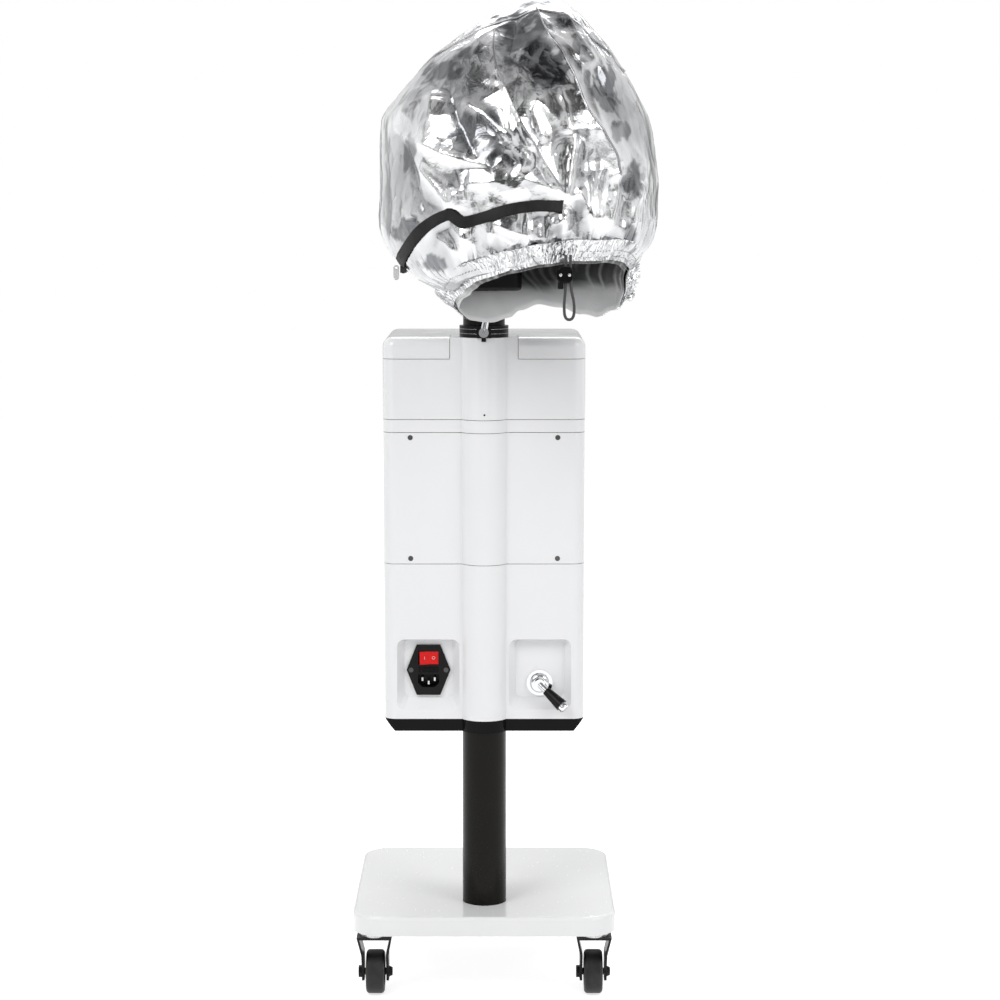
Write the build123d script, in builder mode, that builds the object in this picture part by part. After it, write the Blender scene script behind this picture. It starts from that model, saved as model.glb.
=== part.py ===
"""Standing salon hair steamer: castor base, column, steam generator housing and a soft foil bonnet.

Millimetres, +Z up.  The origin is on the floor under the centre of the base.  -Y is the rear, where
the column, the mains inlet, the drain tap and the mouth of the bonnet are; +Y is the control panel.
"""
from build123d import *
import os
from math import cos, radians, sin, sqrt, tan

os.makedirs("parts", exist_ok=True)

# ---- fits shared by the whole machine ----
running_gap = 0.05        # radial gap of a shaft that turns or slides in its hole
seat_gap = 0.2            # gap between a rigid piece and the piece it is fastened to
panel_gap = 0.6           # visible line between two housing mouldings
soft_gap = 0.4            # gap between the fabric and the rigid pieces that carry it

# ---- base ----
base_width, base_depth, base_thickness = 300, 300, 22
base_corner_radius, base_edge_radius = 35, 4
base_wall, base_skin = 3, 4
chassis_thickness = 4
cover_boss_radius, cover_boss_inset = 9, 30
bolt_head_ratio, bolt_head_rise, nut_ratio = 1.7, 1.2, 1.75   # against the thread's radius

# ---- castors ----
castor_height = 80        # floor to the underside of the base
castor_inset_x, castor_inset_y = 25, 30
castor_trail = 15
wheel_radius, wheel_width = 25, 21
rim_radius, hub_width = 16.5, 18
axle_radius = 4
fork_top_width, fork_axle_width, fork_sheet = 40, 31, 3
raceway_radius, raceway_height = 17, 6
stem_radius, kingpin_radius = 5, 4
kingpin_head_radius, kingpin_head_height = 6.5, 2
nut_height = 7
stem_thread_end = 2       # thread that shows past the stem's nut
dome_nut_ratio, dome_nut_taper = 1.6, 25
fork_leg_top, fork_leg_foot = 9, 7             # half width of the leg, seen from the side
fork_knee_rear, fork_knee_front = 6, 4         # above the axle
fork_foot_drop = 9
rim_lip, boss_wall, hub_dish = 3, 3.5, 4
tyre_shoulder = 4

# ---- column and pole ----
column_inset = 71         # column axis in from the rear edge of the base
column_radius, column_wall = 25, 1.5
flange_radius, flange_thickness = 45, 6
flange_bolt_radius, flange_bolt_circle = 4, 70
pole_wall = 1.5
pole_slide_gap = 0.1
pole_plug_height = 14
pole_engaged_length = 193  # how far the pole reaches down inside the column
riser_radius, riser_wall, riser_bend = 6, 1, 13
riser_drop = 22           # the riser's horizontal run below the pole's lower end
riser_standing_length = 205
riser_port_gap, riser_run = 1, 30           # room round the riser, and its run towards the column
hook_width, hook_depth, hook_margin = 5, 4, 0.5
collar_radius, collar_height = 27.5, 13
clamp_boss_width, clamp_boss_reach = 16, 3
clamp_stud_radius = 3
clamp_hub_radius, clamp_hub_length = 5.5, 8
clamp_arm_length, clamp_arm_root, clamp_arm_tip, clamp_arm_lean = 27, 4.2, 3.0, 10

# ---- housing ----
body_width, body_depth, body_corner_radius = 228, 190, 14
body_wall = 3
body_set_back = 13        # rear face behind the column axis
ridge_radius = 28
tray_bottom, tray_height, tray_slope = 304, 14, 12
slot_length, slot_width, slot_pitch, slot_count, slot_forward = 50, 4, 12, 6, 20
lower_shell_height = 179
cover_height = 149.4
shelf_height, shelf_floor = 14.6, 3
upper_shell_height = 68
lid_height, lid_edge_radius, lid_crown = 24, 11, 2     # the crown is the lid's extra thickness
split_depth = 52          # rear mouldings wrap this far forward of the rear face
block_half_width, block_depth = 38, 46
screw_radius, screw_head_radius, screw_head_height = 1.6, 2.8, 1.6
cover_screw_x, cover_screw_margin, cover_screw_length = 83, 6, 14
post_radius = 4.5
frame_sheet, frame_width, frame_height, frame_corner = 2, 200, 210, 6
frame_port_gap, post_drop = 2, 1
frame_set_back = 30       # frame plate forward of the column axis
saddle_height, saddle_width = 20, 64

# ---- rear recesses ----
recess_width, recess_height, recess_corner, recess_depth = 71, 81, 9, 12
recess_floor_width, recess_floor_height, recess_floor_lift = 55, 66, 5
recess_centre_x, recess_centre_above_tray = 63.6, 51.5

# ---- lid hinge ----
knuckle_radius, knuckle_length, hinge_pin_radius, hinge_spacing = 3.2, 8, 1.5, 120
hinge_reach = 3.5
hinge_web, hinge_overlap = 2.2, 0.5
knuckle_gap = 0.3

# ---- control panel ----
panel_width, panel_height, panel_thickness, panel_corner = 140, 96, 4, 10
panel_above_tray = 250
panel_edge_radius, panel_lip = 1.5, 5
window_width, window_height, window_depth, window_corner = 76, 34, 1.5, 3
window_rise, window_ledge = 18, 2
button_radius, button_travel, button_proud, button_spacing = 8, 1.5, 2.5, 34
button_flange, button_flange_lip, button_edge_radius = 1.2, 2, 1
button_foot_gap = 0.3      # left between the foot and the board when a button is pressed home
button_drop = 26

# ---- water and steam ----
tank_width, tank_depth, tank_height, tank_wall = 196, 128, 66, 2.5
tank_front_gap, tank_corner = 6, 12
feed_x, feed_y = 40, 50
boiler_radius, boiler_height, boiler_wall = 42, 110, 2
boiler_x, boiler_y = -32, 36
boiler_cap_radius, boiler_cap_height = 47, 8
boiler_leg_height = 12
element_radius, element_coil_radius, element_turns = 4, 28, 2
hose_radius, hose_wall = 5, 2
boiler_leg_inset, boiler_leg_radius, boiler_leg_count = 8, 4, 3
boiler_cap_edge = 2
element_lift, element_pitch, element_leg_turn, element_leg_slack = 8, 3, 35, 0.5
feed_inlet_x, feed_inlet_y = 27, 20            # where the feed enters the boiler's cap
feed_drop, feed_rise = 80, 85
drain_hose_lift, drain_hose_run, drain_hose_reach = 20, 30, 38
board_thickness = 1.6
power_board_width, power_board_height, board_stand = 70, 100, 7
power_board_x, power_board_rise = 58, 100
control_board_width, control_board_height, control_board_depth = 120, 78, 13
board_post_radius, board_post_inset = 3, 5
transformer_width, transformer_height, transformer_drop = 44, 36, 22
relay_width, relay_height, relay_rise = 18, 22, 24
relay_places = (-16, 14)
board_parts_height = 26

# ---- mains inlet ----
inlet_width, inlet_height, inlet_flat, inlet_flange = 50, 58, 27, 3
inlet_body_width, inlet_body_height, inlet_body_depth, inlet_wall = 28, 48, 30, 1.5
inlet_centre_above_tray = 55
socket_width, socket_height, socket_depth, socket_drop = 24, 15, 17, 12.6
pin_width, pin_height, pin_length, pin_spread = 2, 4, 15, 7
rocker_width, rocker_height, rocker_depth, rocker_lift = 22, 15.2, 12, 13.8
rocker_tilt, rocker_gap = 8, 0.5
fuse_width, fuse_height, fuse_depth = 23, 7, 19
inlet_screw_spread = 40
socket_chamfer = 5
pin_places = ((-1, 1.5), (0, -2.5), (1, 1.5))  # times the spread across, and up from the socket's middle
rocker_pivot_depth, rocker_pin_radius, rocker_pin_length = 3.8, 1.5, 1.6
rocker_end_proud, rocker_mid_proud = 4.6, 3.2  # outside the pivot
rocker_foot_depth, rocker_belly_depth, rocker_foot_taper = 2.5, 5, 1.5
fuse_lip_margin, fuse_lip_proud = 3, 1
fuse_end_wall, fuse_side_wall = 3, 2

# ---- drain tap ----
drain_x, drain_above_tray = 63.2, 40
drain_bezel_radius, drain_bezel_thickness = 14.8, 2.5
drain_neck_radius, drain_neck_length = 10, 22
drain_dome_radius, drain_dome_height = 11, 9
drain_nut_radius, drain_nut_height = 14, 6
spindle_radius, spindle_depth = 3.5, 16
drain_dome_edge, lever_cap_edge = 4, 2.5
lever_hub_radius, lever_hub_length = 6, 5
lever_droop, lever_outward = 41, 24     # degrees below level, degrees out from the wall
lever_stub_radius, lever_stub_length = 4, 14
grip_root_radius, grip_end_radius, grip_length, grip_start = 4.9, 7.2, 25, 11
lever_cap_radius, lever_cap_length = 6.0, 6

# ---- steam head ----
head_yaw = 8
head_clearance_height = 54      # head's underside above the top of the housing
head_width, head_reach, head_height, head_wall = 67, 74, 60, 2.5
head_front_corner, head_edge_radius = 12, 4
head_sleeve_wall, head_sleeve_height, head_sleeve_step = 4, 44, 1
nozzle_radius, nozzle_thickness, nozzle_hole_radius, nozzle_ring_radius = 19, 6, 2.4, 12
nozzle_hole_count, nozzle_edge_radius = 8, 1.5

# ---- bonnet ----
# height above the top of the housing, centre x, centre y from the column, half width, half depth
bonnet_sections = [
    (17, 45, -143, 85, 88),
    (73, 37, -127, 117, 120),
    (113, 40, -113, 141, 140),
    (194, 39, -109, 143, 143),
    (246, 36, -109, 132, 134),
    (302, 40, -108, 96, 98),
    (345, 54, -106, 54, 52),
    (370, 58, -105, 21, 20),
]
fabric_thickness = 2
lining_thickness = 1.5
rim_far_height, rim_far_y = 31, -43       # lowest point of the mouth, above housing and from column
rim_rise, rim_run = 53, 208               # the mouth's plane rises towards the client
hem_height, hem_thickness = 15, 3
bow_radius, bow_inset = 2, 13
ring_centre_x, ring_centre_reach = 40, 112
zip_width, zip_thickness, zip_back_reach, zip_cut_depth = 9, 1.8, 118, 250
# across, and height above the housing
zip_route = [(-85, 80), (-74, 109), (-61, 136), (-31, 145), (25, 148), (78, 149)]
pull_width, pull_height, pull_thickness, pull_eye, pull_corner_gap = 6, 16, 1.5, 1.2, 0.2
pull_outward, pull_behind, pull_rise = 7.5, 6, 4     # from the zip's lower end and the section's centre
cord_radius = 1.5
cord_clearance = 4.1      # room between the hem and the lock's back
cord_offset, cord_spread = 3.2, 2.4
# rise above the lock where the cord leaves the hem, and drops below it down the loop
cord_exit_rise, cord_exit_run, cord_top_rise = 11, 4, 5
cord_left_drop, cord_right_drop = 6, 5
cord_waist_left, cord_waist_right = 22, 21
loop_drop, loop_left, loop_right, loop_swell = 37, 0, 9, 1
lock_x, lock_hang = 84, 86
lock_width, lock_height, lock_thickness = 16, 17, 11
lock_corner, lock_edge = 5, 2
plunger_radius, plunger_offset, plunger_depth = 3, 4.4, 11
plunger_travel, plunger_proud, plunger_edge = 4, 2, 1

# ---- places worked out from the sizes above ----
base_underside = castor_height
base_top = base_underside + base_thickness
chassis_top = base_underside + chassis_thickness
column_y = -base_depth / 2 + column_inset
body_rear = column_y - body_set_back
body_front = body_rear + body_depth
body_mid_y = (body_rear + body_front) / 2
split_y = body_rear + split_depth
tray_top = tray_bottom + tray_height
lower_shell_top = tray_top + lower_shell_height
cover_top = lower_shell_top + cover_height
shelf_top = cover_top + shelf_height
upper_shell_top = shelf_top + upper_shell_height
body_top = upper_shell_top + lid_height
column_bore = column_radius - column_wall
pole_radius = column_bore - pole_slide_gap
pole_bottom = body_top - pole_engaged_length
head_bottom = body_top + head_clearance_height
head_top = head_bottom + head_height
pole_top = head_bottom + head_sleeve_height
riser_level = pole_bottom - riser_drop
rear_plane = Plane.XZ.offset(-body_rear)
front_plane = Plane(origin=(0, body_front, 0), x_dir=(-1, 0, 0), z_dir=(0, 1, 0))
head_plane = Plane(
    origin=(0, column_y, 0),
    x_dir=(cos(radians(head_yaw)), sin(radians(head_yaw)), 0),
    z_dir=(0, 0, 1),
)
tall = 2000               # longer than anything that a cutting block has to clear
clear_cut = 1             # how far a cut starts outside the face that it opens


def save(piece, name):
    """Label a finished piece and write it as its own STEP file."""
    piece.label = name
    export_step(piece, f"parts/{name}.step")


def corner_radii(points):
    """Largest even arcs for a route of straight runs: 0.45 of the shorter run at each corner."""
    radii = []
    for before, here, after in zip(points, points[1:], points[2:]):
        run_in = Vector(here) - Vector(before)
        run_out = Vector(after) - Vector(here)
        half_turn = radians(run_in.get_angle(run_out)) / 2
        radii.append(0.45 * min(run_in.length, run_out.length) / tan(half_turn))
    return radii


# ---- base: cover, chassis, fasteners ----
flange_bolt_places = PolarLocations(flange_bolt_circle / 2, 4, start_angle=45)
castor_x = base_width / 2 - castor_inset_x
castor_y = base_depth / 2 - castor_inset_y
castor_places = GridLocations(2 * castor_x, 2 * castor_y, 2, 2)

with BuildPart() as base_cover:
    with BuildSketch(Plane.XY.offset(base_underside)):
        RectangleRounded(base_width, base_depth, base_corner_radius)
    extrude(amount=base_thickness)
    fillet(base_cover.faces().sort_by(Axis.Z)[-1].outer_wire().edges(), base_edge_radius)
    with BuildSketch(Plane.XY.offset(base_underside)):
        RectangleRounded(base_width - 2 * base_wall, base_depth - 2 * base_wall,
                         base_corner_radius - base_wall)
    extrude(amount=base_thickness - base_skin, mode=Mode.SUBTRACT)
    with BuildSketch(Plane.XY.offset(chassis_top)):
        with GridLocations(2 * (castor_x - cover_boss_inset), 2 * castor_y, 2, 2):
            Circle(cover_boss_radius)
    extrude(amount=base_top - base_skin - chassis_top)
    with BuildSketch(Plane.XY.offset(base_underside)):
        with Locations((0, column_y)):
            Circle(column_radius + seat_gap)
    extrude(amount=base_thickness, mode=Mode.SUBTRACT)
save(base_cover.part, "base_cover")

with BuildPart() as base_chassis:
    with BuildSketch(Plane.XY.offset(base_underside)):
        RectangleRounded(base_width - 2 * (base_wall + seat_gap), base_depth - 2 * (base_wall + seat_gap),
                         base_corner_radius - base_wall - seat_gap)
        with castor_places:
            Circle(stem_radius + seat_gap, mode=Mode.SUBTRACT)
        with Locations((0, column_y)):
            with flange_bolt_places:
                Circle(flange_bolt_radius + seat_gap, mode=Mode.SUBTRACT)
    extrude(amount=chassis_thickness)
save(base_chassis.part, "base_chassis")

with BuildPart() as base_fasteners:
    # four hexagon bolts through the column's flange, and a nut on each castor stem
    with BuildSketch(Plane.XY.offset(base_underside)):
        with Locations((0, column_y)):
            with flange_bolt_places:
                Circle(flange_bolt_radius)
    extrude(amount=chassis_thickness + flange_thickness)
    with BuildSketch(Plane.XY.offset(chassis_top + flange_thickness)):
        with Locations((0, column_y)):
            with flange_bolt_places:
                RegularPolygon(flange_bolt_radius * bolt_head_ratio, 6)
    extrude(amount=flange_bolt_radius * bolt_head_rise)
    with BuildSketch(Plane.XY.offset(chassis_top)):
        with castor_places:
            RegularPolygon(stem_radius * nut_ratio, 6)
            Circle(stem_radius + running_gap, mode=Mode.SUBTRACT)
    extrude(amount=nut_height)
save(base_fasteners.part, "base_fasteners")

# ---- castors ----
raceway_bottom = base_underside - raceway_height
fork_top = raceway_bottom - seat_gap
kingpin_end = fork_top - fork_sheet - seat_gap

with BuildPart() as castor_stems:
    with BuildSketch(Plane.XY.offset(raceway_bottom)):
        with castor_places:
            Circle(raceway_radius)
    extrude(amount=raceway_height)
    with BuildSketch(Plane.XY.offset(base_underside)):
        with castor_places:
            Circle(stem_radius)
    extrude(amount=chassis_thickness + nut_height + stem_thread_end)
    with BuildSketch(Plane.XY.offset(kingpin_end)):
        with castor_places:
            Circle(kingpin_radius)
    extrude(amount=raceway_bottom - kingpin_end)
    with BuildSketch(Plane.XY.offset(kingpin_end)):
        with castor_places:
            Circle(kingpin_head_radius)
    extrude(amount=-kingpin_head_height)
save(castor_stems.part, "castor_stems")

hub_side = hub_width / 2
fork_inner_top = fork_top_width / 2 - fork_sheet
fork_inner_axle = fork_axle_width / 2 - fork_sheet
fork_waist = (fork_top + wheel_radius) / 2
fork_foot = wheel_radius - fork_foot_drop
fork_depth = 2 * raceway_radius

for side_x, side_name in ((-1, "left"), (1, "right")):
    for side_y, end_name in ((-1, "rear"), (1, "front")):
        castor_name = f"castor_{end_name}_{side_name}"
        swivel_x, swivel_y = side_x * castor_x, side_y * castor_y
        axle_y = swivel_y + castor_trail

        with BuildPart() as castor_fork:
            # bent sheet seen from behind: flat crown, legs that draw in to the axle
            with BuildSketch(Plane.XZ.offset(-swivel_y)):
                with BuildLine():
                    Polyline(
                        (swivel_x - fork_top_width / 2, fork_top),
                        (swivel_x + fork_top_width / 2, fork_top),
                        (swivel_x + fork_axle_width / 2, fork_waist),
                        (swivel_x + fork_axle_width / 2, fork_foot),
                        (swivel_x + fork_inner_axle, fork_foot),
                        (swivel_x + fork_inner_axle, fork_waist),
                        (swivel_x + fork_inner_top, fork_top - fork_sheet),
                        (swivel_x - fork_inner_top, fork_top - fork_sheet),
                        (swivel_x - fork_inner_axle, fork_waist),
                        (swivel_x - fork_inner_axle, fork_foot),
                        (swivel_x - fork_axle_width / 2, fork_foot),
                        (swivel_x - fork_axle_width / 2, fork_waist),
                        close=True,
                    )
                make_face()
            extrude(amount=fork_depth, both=True)
            # side view: the crown's disc and the leg that trails to the axle
            with BuildSketch(Plane.YZ.offset(swivel_x)):
                with BuildLine():
                    Polyline(
                        (swivel_y - raceway_radius, fork_top),
                        (swivel_y + raceway_radius, fork_top),
                        (axle_y + fork_leg_top, wheel_radius + fork_knee_rear),
                        (axle_y + fork_leg_foot, fork_foot),
                        (axle_y - fork_leg_foot, fork_foot),
                        (axle_y - fork_leg_top, wheel_radius + fork_knee_front),
                        close=True,
                    )
                make_face()
            extrude(amount=fork_top_width, both=True, mode=Mode.INTERSECT)
            with BuildSketch(Plane.XY.offset(fork_top)):
                with Locations((swivel_x, swivel_y)):
                    Circle(kingpin_radius + running_gap)
            extrude(amount=-2 * fork_sheet, mode=Mode.SUBTRACT)
            with BuildSketch(Plane.YZ.offset(swivel_x)):
                with Locations((axle_y, wheel_radius)):
                    Circle(axle_radius + seat_gap)
            extrude(amount=fork_top_width, both=True, mode=Mode.SUBTRACT)
            # axle bolt with its head on one side and a dome nut on the other
            with BuildSketch(Plane.YZ.offset(swivel_x - fork_axle_width / 2)):
                with Locations((axle_y, wheel_radius)):
                    Circle(axle_radius)
            extrude(amount=fork_axle_width)
            with BuildSketch(Plane.YZ.offset(swivel_x - fork_axle_width / 2)):
                with Locations((axle_y, wheel_radius)):
                    RegularPolygon(axle_radius * nut_ratio, 6)
            extrude(amount=-axle_radius)
            with BuildSketch(Plane.YZ.offset(swivel_x + fork_axle_width / 2)):
                with Locations((axle_y, wheel_radius)):
                    Circle(axle_radius * dome_nut_ratio)
            extrude(amount=axle_radius, taper=dome_nut_taper)
        save(castor_fork.part, f"{castor_name}_fork")

        wheel_plane = Plane.YZ.offset(swivel_x - hub_side)
        with BuildPart() as castor_hub:
            with BuildSketch(wheel_plane):
                with Locations((axle_y, wheel_radius)):
                    Circle(rim_radius)
            extrude(amount=hub_width)
            # dished faces leave a rim and a boss
            for face_plane, inward in ((wheel_plane, 1), (Plane.YZ.offset(swivel_x + hub_side), -1)):
                with BuildSketch(face_plane):
                    with Locations((axle_y, wheel_radius)):
                        Circle(rim_radius - rim_lip)
                        Circle(axle_radius + boss_wall, mode=Mode.SUBTRACT)
                extrude(amount=inward * hub_dish, mode=Mode.SUBTRACT)
            with BuildSketch(wheel_plane):
                with Locations((axle_y, wheel_radius)):
                    Circle(axle_radius + running_gap)
            extrude(amount=hub_width, mode=Mode.SUBTRACT)
        save(castor_hub.part, f"{castor_name}_hub")

        with BuildPart() as castor_tyre:
            with BuildSketch(Plane.YZ.offset(swivel_x - wheel_width / 2)):
                with Locations((axle_y, wheel_radius)):
                    Circle(wheel_radius)
            extrude(amount=wheel_width)
            fillet(castor_tyre.edges().filter_by(GeomType.CIRCLE), tyre_shoulder)
            with BuildSketch(Plane.YZ.offset(swivel_x - wheel_width / 2)):
                with Locations((axle_y, wheel_radius)):
                    Circle(rim_radius + running_gap)
            extrude(amount=wheel_width, mode=Mode.SUBTRACT)
        save(castor_tyre.part, f"{castor_name}_tyre")

# ---- column with its welded flange, pole, riser ----
column_axis_plane = Plane(origin=(0, column_y, 0), x_dir=(1, 0, 0), z_dir=(0, 0, 1))
riser_port_plane = Plane.XZ.offset(-column_y)

with BuildPart() as column_tube:
    with BuildSketch(column_axis_plane.offset(chassis_top)):
        Circle(column_radius)
    extrude(amount=body_top - chassis_top)
    with BuildSketch(column_axis_plane.offset(chassis_top)):
        Circle(flange_radius)
        with flange_bolt_places:
            Circle(flange_bolt_radius + seat_gap, mode=Mode.SUBTRACT)
    extrude(amount=flange_thickness)
    with BuildSketch(column_axis_plane.offset(chassis_top)):
        Circle(column_bore)
    extrude(amount=body_top - chassis_top, mode=Mode.SUBTRACT)
    with BuildSketch(riser_port_plane):
        with Locations((0, riser_level)):
            Circle(riser_radius + riser_port_gap)
    extrude(amount=-2 * column_radius, mode=Mode.SUBTRACT)
save(column_tube.part, "column_tube")

with BuildPart() as upper_pole:
    with BuildSketch(column_axis_plane.offset(pole_bottom)):
        Circle(pole_radius)
    extrude(amount=pole_top - pole_bottom)
    with BuildSketch(column_axis_plane.offset(pole_bottom + pole_plug_height)):
        Circle(pole_radius - pole_wall)
    extrude(amount=pole_top - pole_bottom - pole_plug_height, mode=Mode.SUBTRACT)
    with BuildSketch(column_axis_plane.offset(pole_bottom)):
        Circle(riser_radius + running_gap)
    extrude(amount=pole_plug_height, mode=Mode.SUBTRACT)
save(upper_pole.part, "upper_pole")

boiler_bottom = tray_bottom + body_wall + boiler_leg_height
boiler_top = boiler_bottom + boiler_height
riser_start = (boiler_x, boiler_y, boiler_top + boiler_cap_height)
riser_route = [
    riser_start,
    (boiler_x, boiler_y, riser_level),
    (0, boiler_y - riser_run, riser_level),
    (0, column_y, riser_level),
    (0, column_y, riser_level + riser_standing_length),
]
riser_bends = [riser_bend, riser_bend, riser_bend]

with BuildPart() as steam_riser:
    with BuildLine():
        FilletPolyline(riser_route, radius=riser_bends)
    with BuildSketch(Plane(origin=riser_start, z_dir=(0, 0, 1))):
        Circle(riser_radius)
        Circle(riser_radius - riser_wall, mode=Mode.SUBTRACT)
    sweep()
save(steam_riser.part, "steam_riser")

collar_top = body_top + collar_height
clamp_level = body_top + collar_height / 2
clamp_face_y = column_y - collar_radius - clamp_boss_reach

with BuildPart() as top_collar:
    with BuildSketch(column_axis_plane.offset(body_top)):
        Circle(collar_radius)
        with Locations((0, -collar_radius / 2 - clamp_boss_reach / 2)):
            Rectangle(clamp_boss_width, collar_radius + clamp_boss_reach)
        Circle(column_bore, mode=Mode.SUBTRACT)
    extrude(amount=collar_height)
    # the hook under the boss that reaches over the ridge's edge
    with BuildSketch(Plane.XY.offset(body_top)):
        with Locations((0, column_y - ridge_radius - seat_gap)):
            Rectangle(hook_width, clamp_boss_reach - 2 * seat_gap - hook_margin,
                      align=(Align.CENTER, Align.MAX))
    extrude(amount=-hook_depth)
    with BuildSketch(Plane.XZ.offset(-column_y)):
        with Locations((0, clamp_level)):
            Circle(clamp_stud_radius + running_gap)
    extrude(amount=collar_radius + clamp_boss_reach, mode=Mode.SUBTRACT)
save(top_collar.part, "top_collar")

clamp_hub_face = clamp_face_y - seat_gap
clamp_arm_plane = Plane(
    origin=(0, clamp_hub_face - clamp_hub_length / 2, clamp_level),
    x_dir=(0, 1, 0),
    z_dir=(sin(radians(clamp_arm_lean)), 0, cos(radians(clamp_arm_lean))),
)

with BuildPart() as clamp_lever:
    with BuildSketch(Plane.XZ.offset(-(column_y - pole_radius - seat_gap))):
        with Locations((0, clamp_level)):
            Circle(clamp_stud_radius)
    extrude(amount=collar_radius + clamp_boss_reach - pole_radius + seat_gap)
    with BuildSketch(Plane.XZ.offset(-clamp_hub_face)):
        with Locations((0, clamp_level)):
            Circle(clamp_hub_radius)
    extrude(amount=clamp_hub_length)
    with BuildSketch(clamp_arm_plane):
        Circle(clamp_arm_root)
    with BuildSketch(clamp_arm_plane.offset(clamp_arm_length)):
        Circle(clamp_arm_tip)
    loft()
save(clamp_lever.part, "clamp_lever")

# ---- housing outlines ----
with BuildSketch() as body_profile:
    with Locations((0, body_mid_y)):
        RectangleRounded(body_width, body_depth, body_corner_radius)
    with Locations((0, column_y)):
        Circle(ridge_radius)

with BuildSketch() as cavity_profile:
    with Locations((0, body_mid_y)):
        RectangleRounded(body_width - 2 * body_wall, body_depth - 2 * body_wall,
                         body_corner_radius - body_wall)

with BuildSketch() as wall_profile:
    add(body_profile.sketch)
    add(cavity_profile.sketch, mode=Mode.SUBTRACT)
    with Locations((0, column_y)):
        Circle(column_radius + seat_gap, mode=Mode.SUBTRACT)

with BuildSketch() as rear_half:
    with Locations((0, split_y)):
        Rectangle(tall, tall, align=(Align.CENTER, Align.MAX))

with BuildSketch() as front_half:
    with Locations((0, split_y + panel_gap)):
        Rectangle(tall, tall, align=(Align.CENTER, Align.MIN))

with BuildSketch() as block_profile:
    # the part of the top that stays with the shell and carries the collar
    with Locations((0, body_rear)):
        Rectangle(2 * block_half_width, block_depth, align=(Align.CENTER, Align.MIN))
    with Locations((0, column_y)):
        Circle(ridge_radius)
    with Locations((0, column_y)):
        Circle(column_radius + seat_gap, mode=Mode.SUBTRACT)

# ---- bottom tray ----
with BuildPart() as bottom_tray:
    with BuildSketch(Plane.XY.offset(tray_bottom)):
        add(body_profile.sketch)
        with Locations((0, column_y)):
            Circle(column_radius + seat_gap, mode=Mode.SUBTRACT)
    extrude(amount=tray_height)
    # both ends of the tray slope in to its underside
    with BuildSketch(Plane.XZ.offset(-body_mid_y)):
        with BuildLine():
            Polyline(
                (-body_width / 2, tray_top),
                (body_width / 2, tray_top),
                (body_width / 2 - tray_slope, tray_bottom),
                (tray_slope - body_width / 2, tray_bottom),
                close=True,
            )
        make_face()
    extrude(amount=body_depth, both=True, mode=Mode.INTERSECT)
    with BuildSketch(Plane.XY.offset(tray_bottom + body_wall)):
        with Locations((0, (split_y + body_front - 2 * body_wall) / 2)):
            Rectangle(body_width - 2 * (tray_slope + body_wall), body_front - split_y - 2 * body_wall)
    extrude(amount=tray_height, mode=Mode.SUBTRACT)
    # cooling slots under the boiler's side of the tray
    with BuildSketch(Plane.XY.offset(tray_bottom)):
        with Locations((body_width / 4, body_mid_y + slot_forward)):
            with GridLocations(0, slot_pitch, 1, slot_count):
                SlotOverall(slot_length, slot_width)
    extrude(amount=body_wall, mode=Mode.SUBTRACT)
save(bottom_tray.part, "bottom_tray")

# ---- rear lower shell with its two recesses ----
recess_level = tray_top + recess_centre_above_tray
recess_floor_level = recess_level + recess_floor_lift
recess_floor_y = body_rear + recess_depth
inlet_level = tray_top + inlet_centre_above_tray
drain_level = tray_top + drain_above_tray

with BuildPart() as rear_shell_lower:
    with BuildSketch(Plane.XY.offset(tray_top)):
        add(wall_profile.sketch)
        add(rear_half.sketch, mode=Mode.INTERSECT)
    extrude(amount=lower_shell_height - panel_gap)
    for side in (-1, 1):
        recess_x = side * recess_centre_x
        # wall behind the recess, then the recess with its sloping sides
        with BuildSketch(rear_plane.offset(-body_wall / 2)):
            with Locations((recess_x, recess_level)):
                RectangleRounded(recess_width + 2 * body_wall, recess_height + 2 * body_wall,
                                 recess_corner + body_wall)
        with BuildSketch(rear_plane.offset(-recess_depth - body_wall)):
            with Locations((recess_x, recess_floor_level)):
                RectangleRounded(recess_floor_width + 2 * body_wall, recess_floor_height + 2 * body_wall,
                                 recess_corner)
        loft()
        with BuildSketch(rear_plane):
            with Locations((recess_x, recess_level)):
                RectangleRounded(recess_width, recess_height, recess_corner)
        with BuildSketch(rear_plane.offset(-recess_depth)):
            with Locations((recess_x, recess_floor_level)):
                RectangleRounded(recess_floor_width, recess_floor_height, recess_corner - body_wall)
        loft(mode=Mode.SUBTRACT)
    with BuildSketch(rear_plane):
        with Locations((-recess_centre_x, inlet_level)):
            Rectangle(inlet_body_width + 2 * seat_gap, inlet_body_height + 2 * seat_gap)
            with GridLocations(inlet_screw_spread, 0, 2, 1):
                Circle(screw_radius + running_gap)
        with Locations((drain_x, drain_level)):
            Circle(drain_neck_radius + seat_gap)
    extrude(amount=-recess_depth - 2 * body_wall, mode=Mode.SUBTRACT)
    with BuildSketch(Plane.XY.offset(tray_top)):
        with Locations((0, column_y)):
            Circle(column_radius + seat_gap)
    extrude(amount=lower_shell_height, mode=Mode.SUBTRACT)
save(rear_shell_lower.part, "rear_shell_lower")

# ---- service cover ----
cover_screw_low = lower_shell_top + cover_screw_margin
cover_screw_high = cover_top - cover_screw_margin

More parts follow.
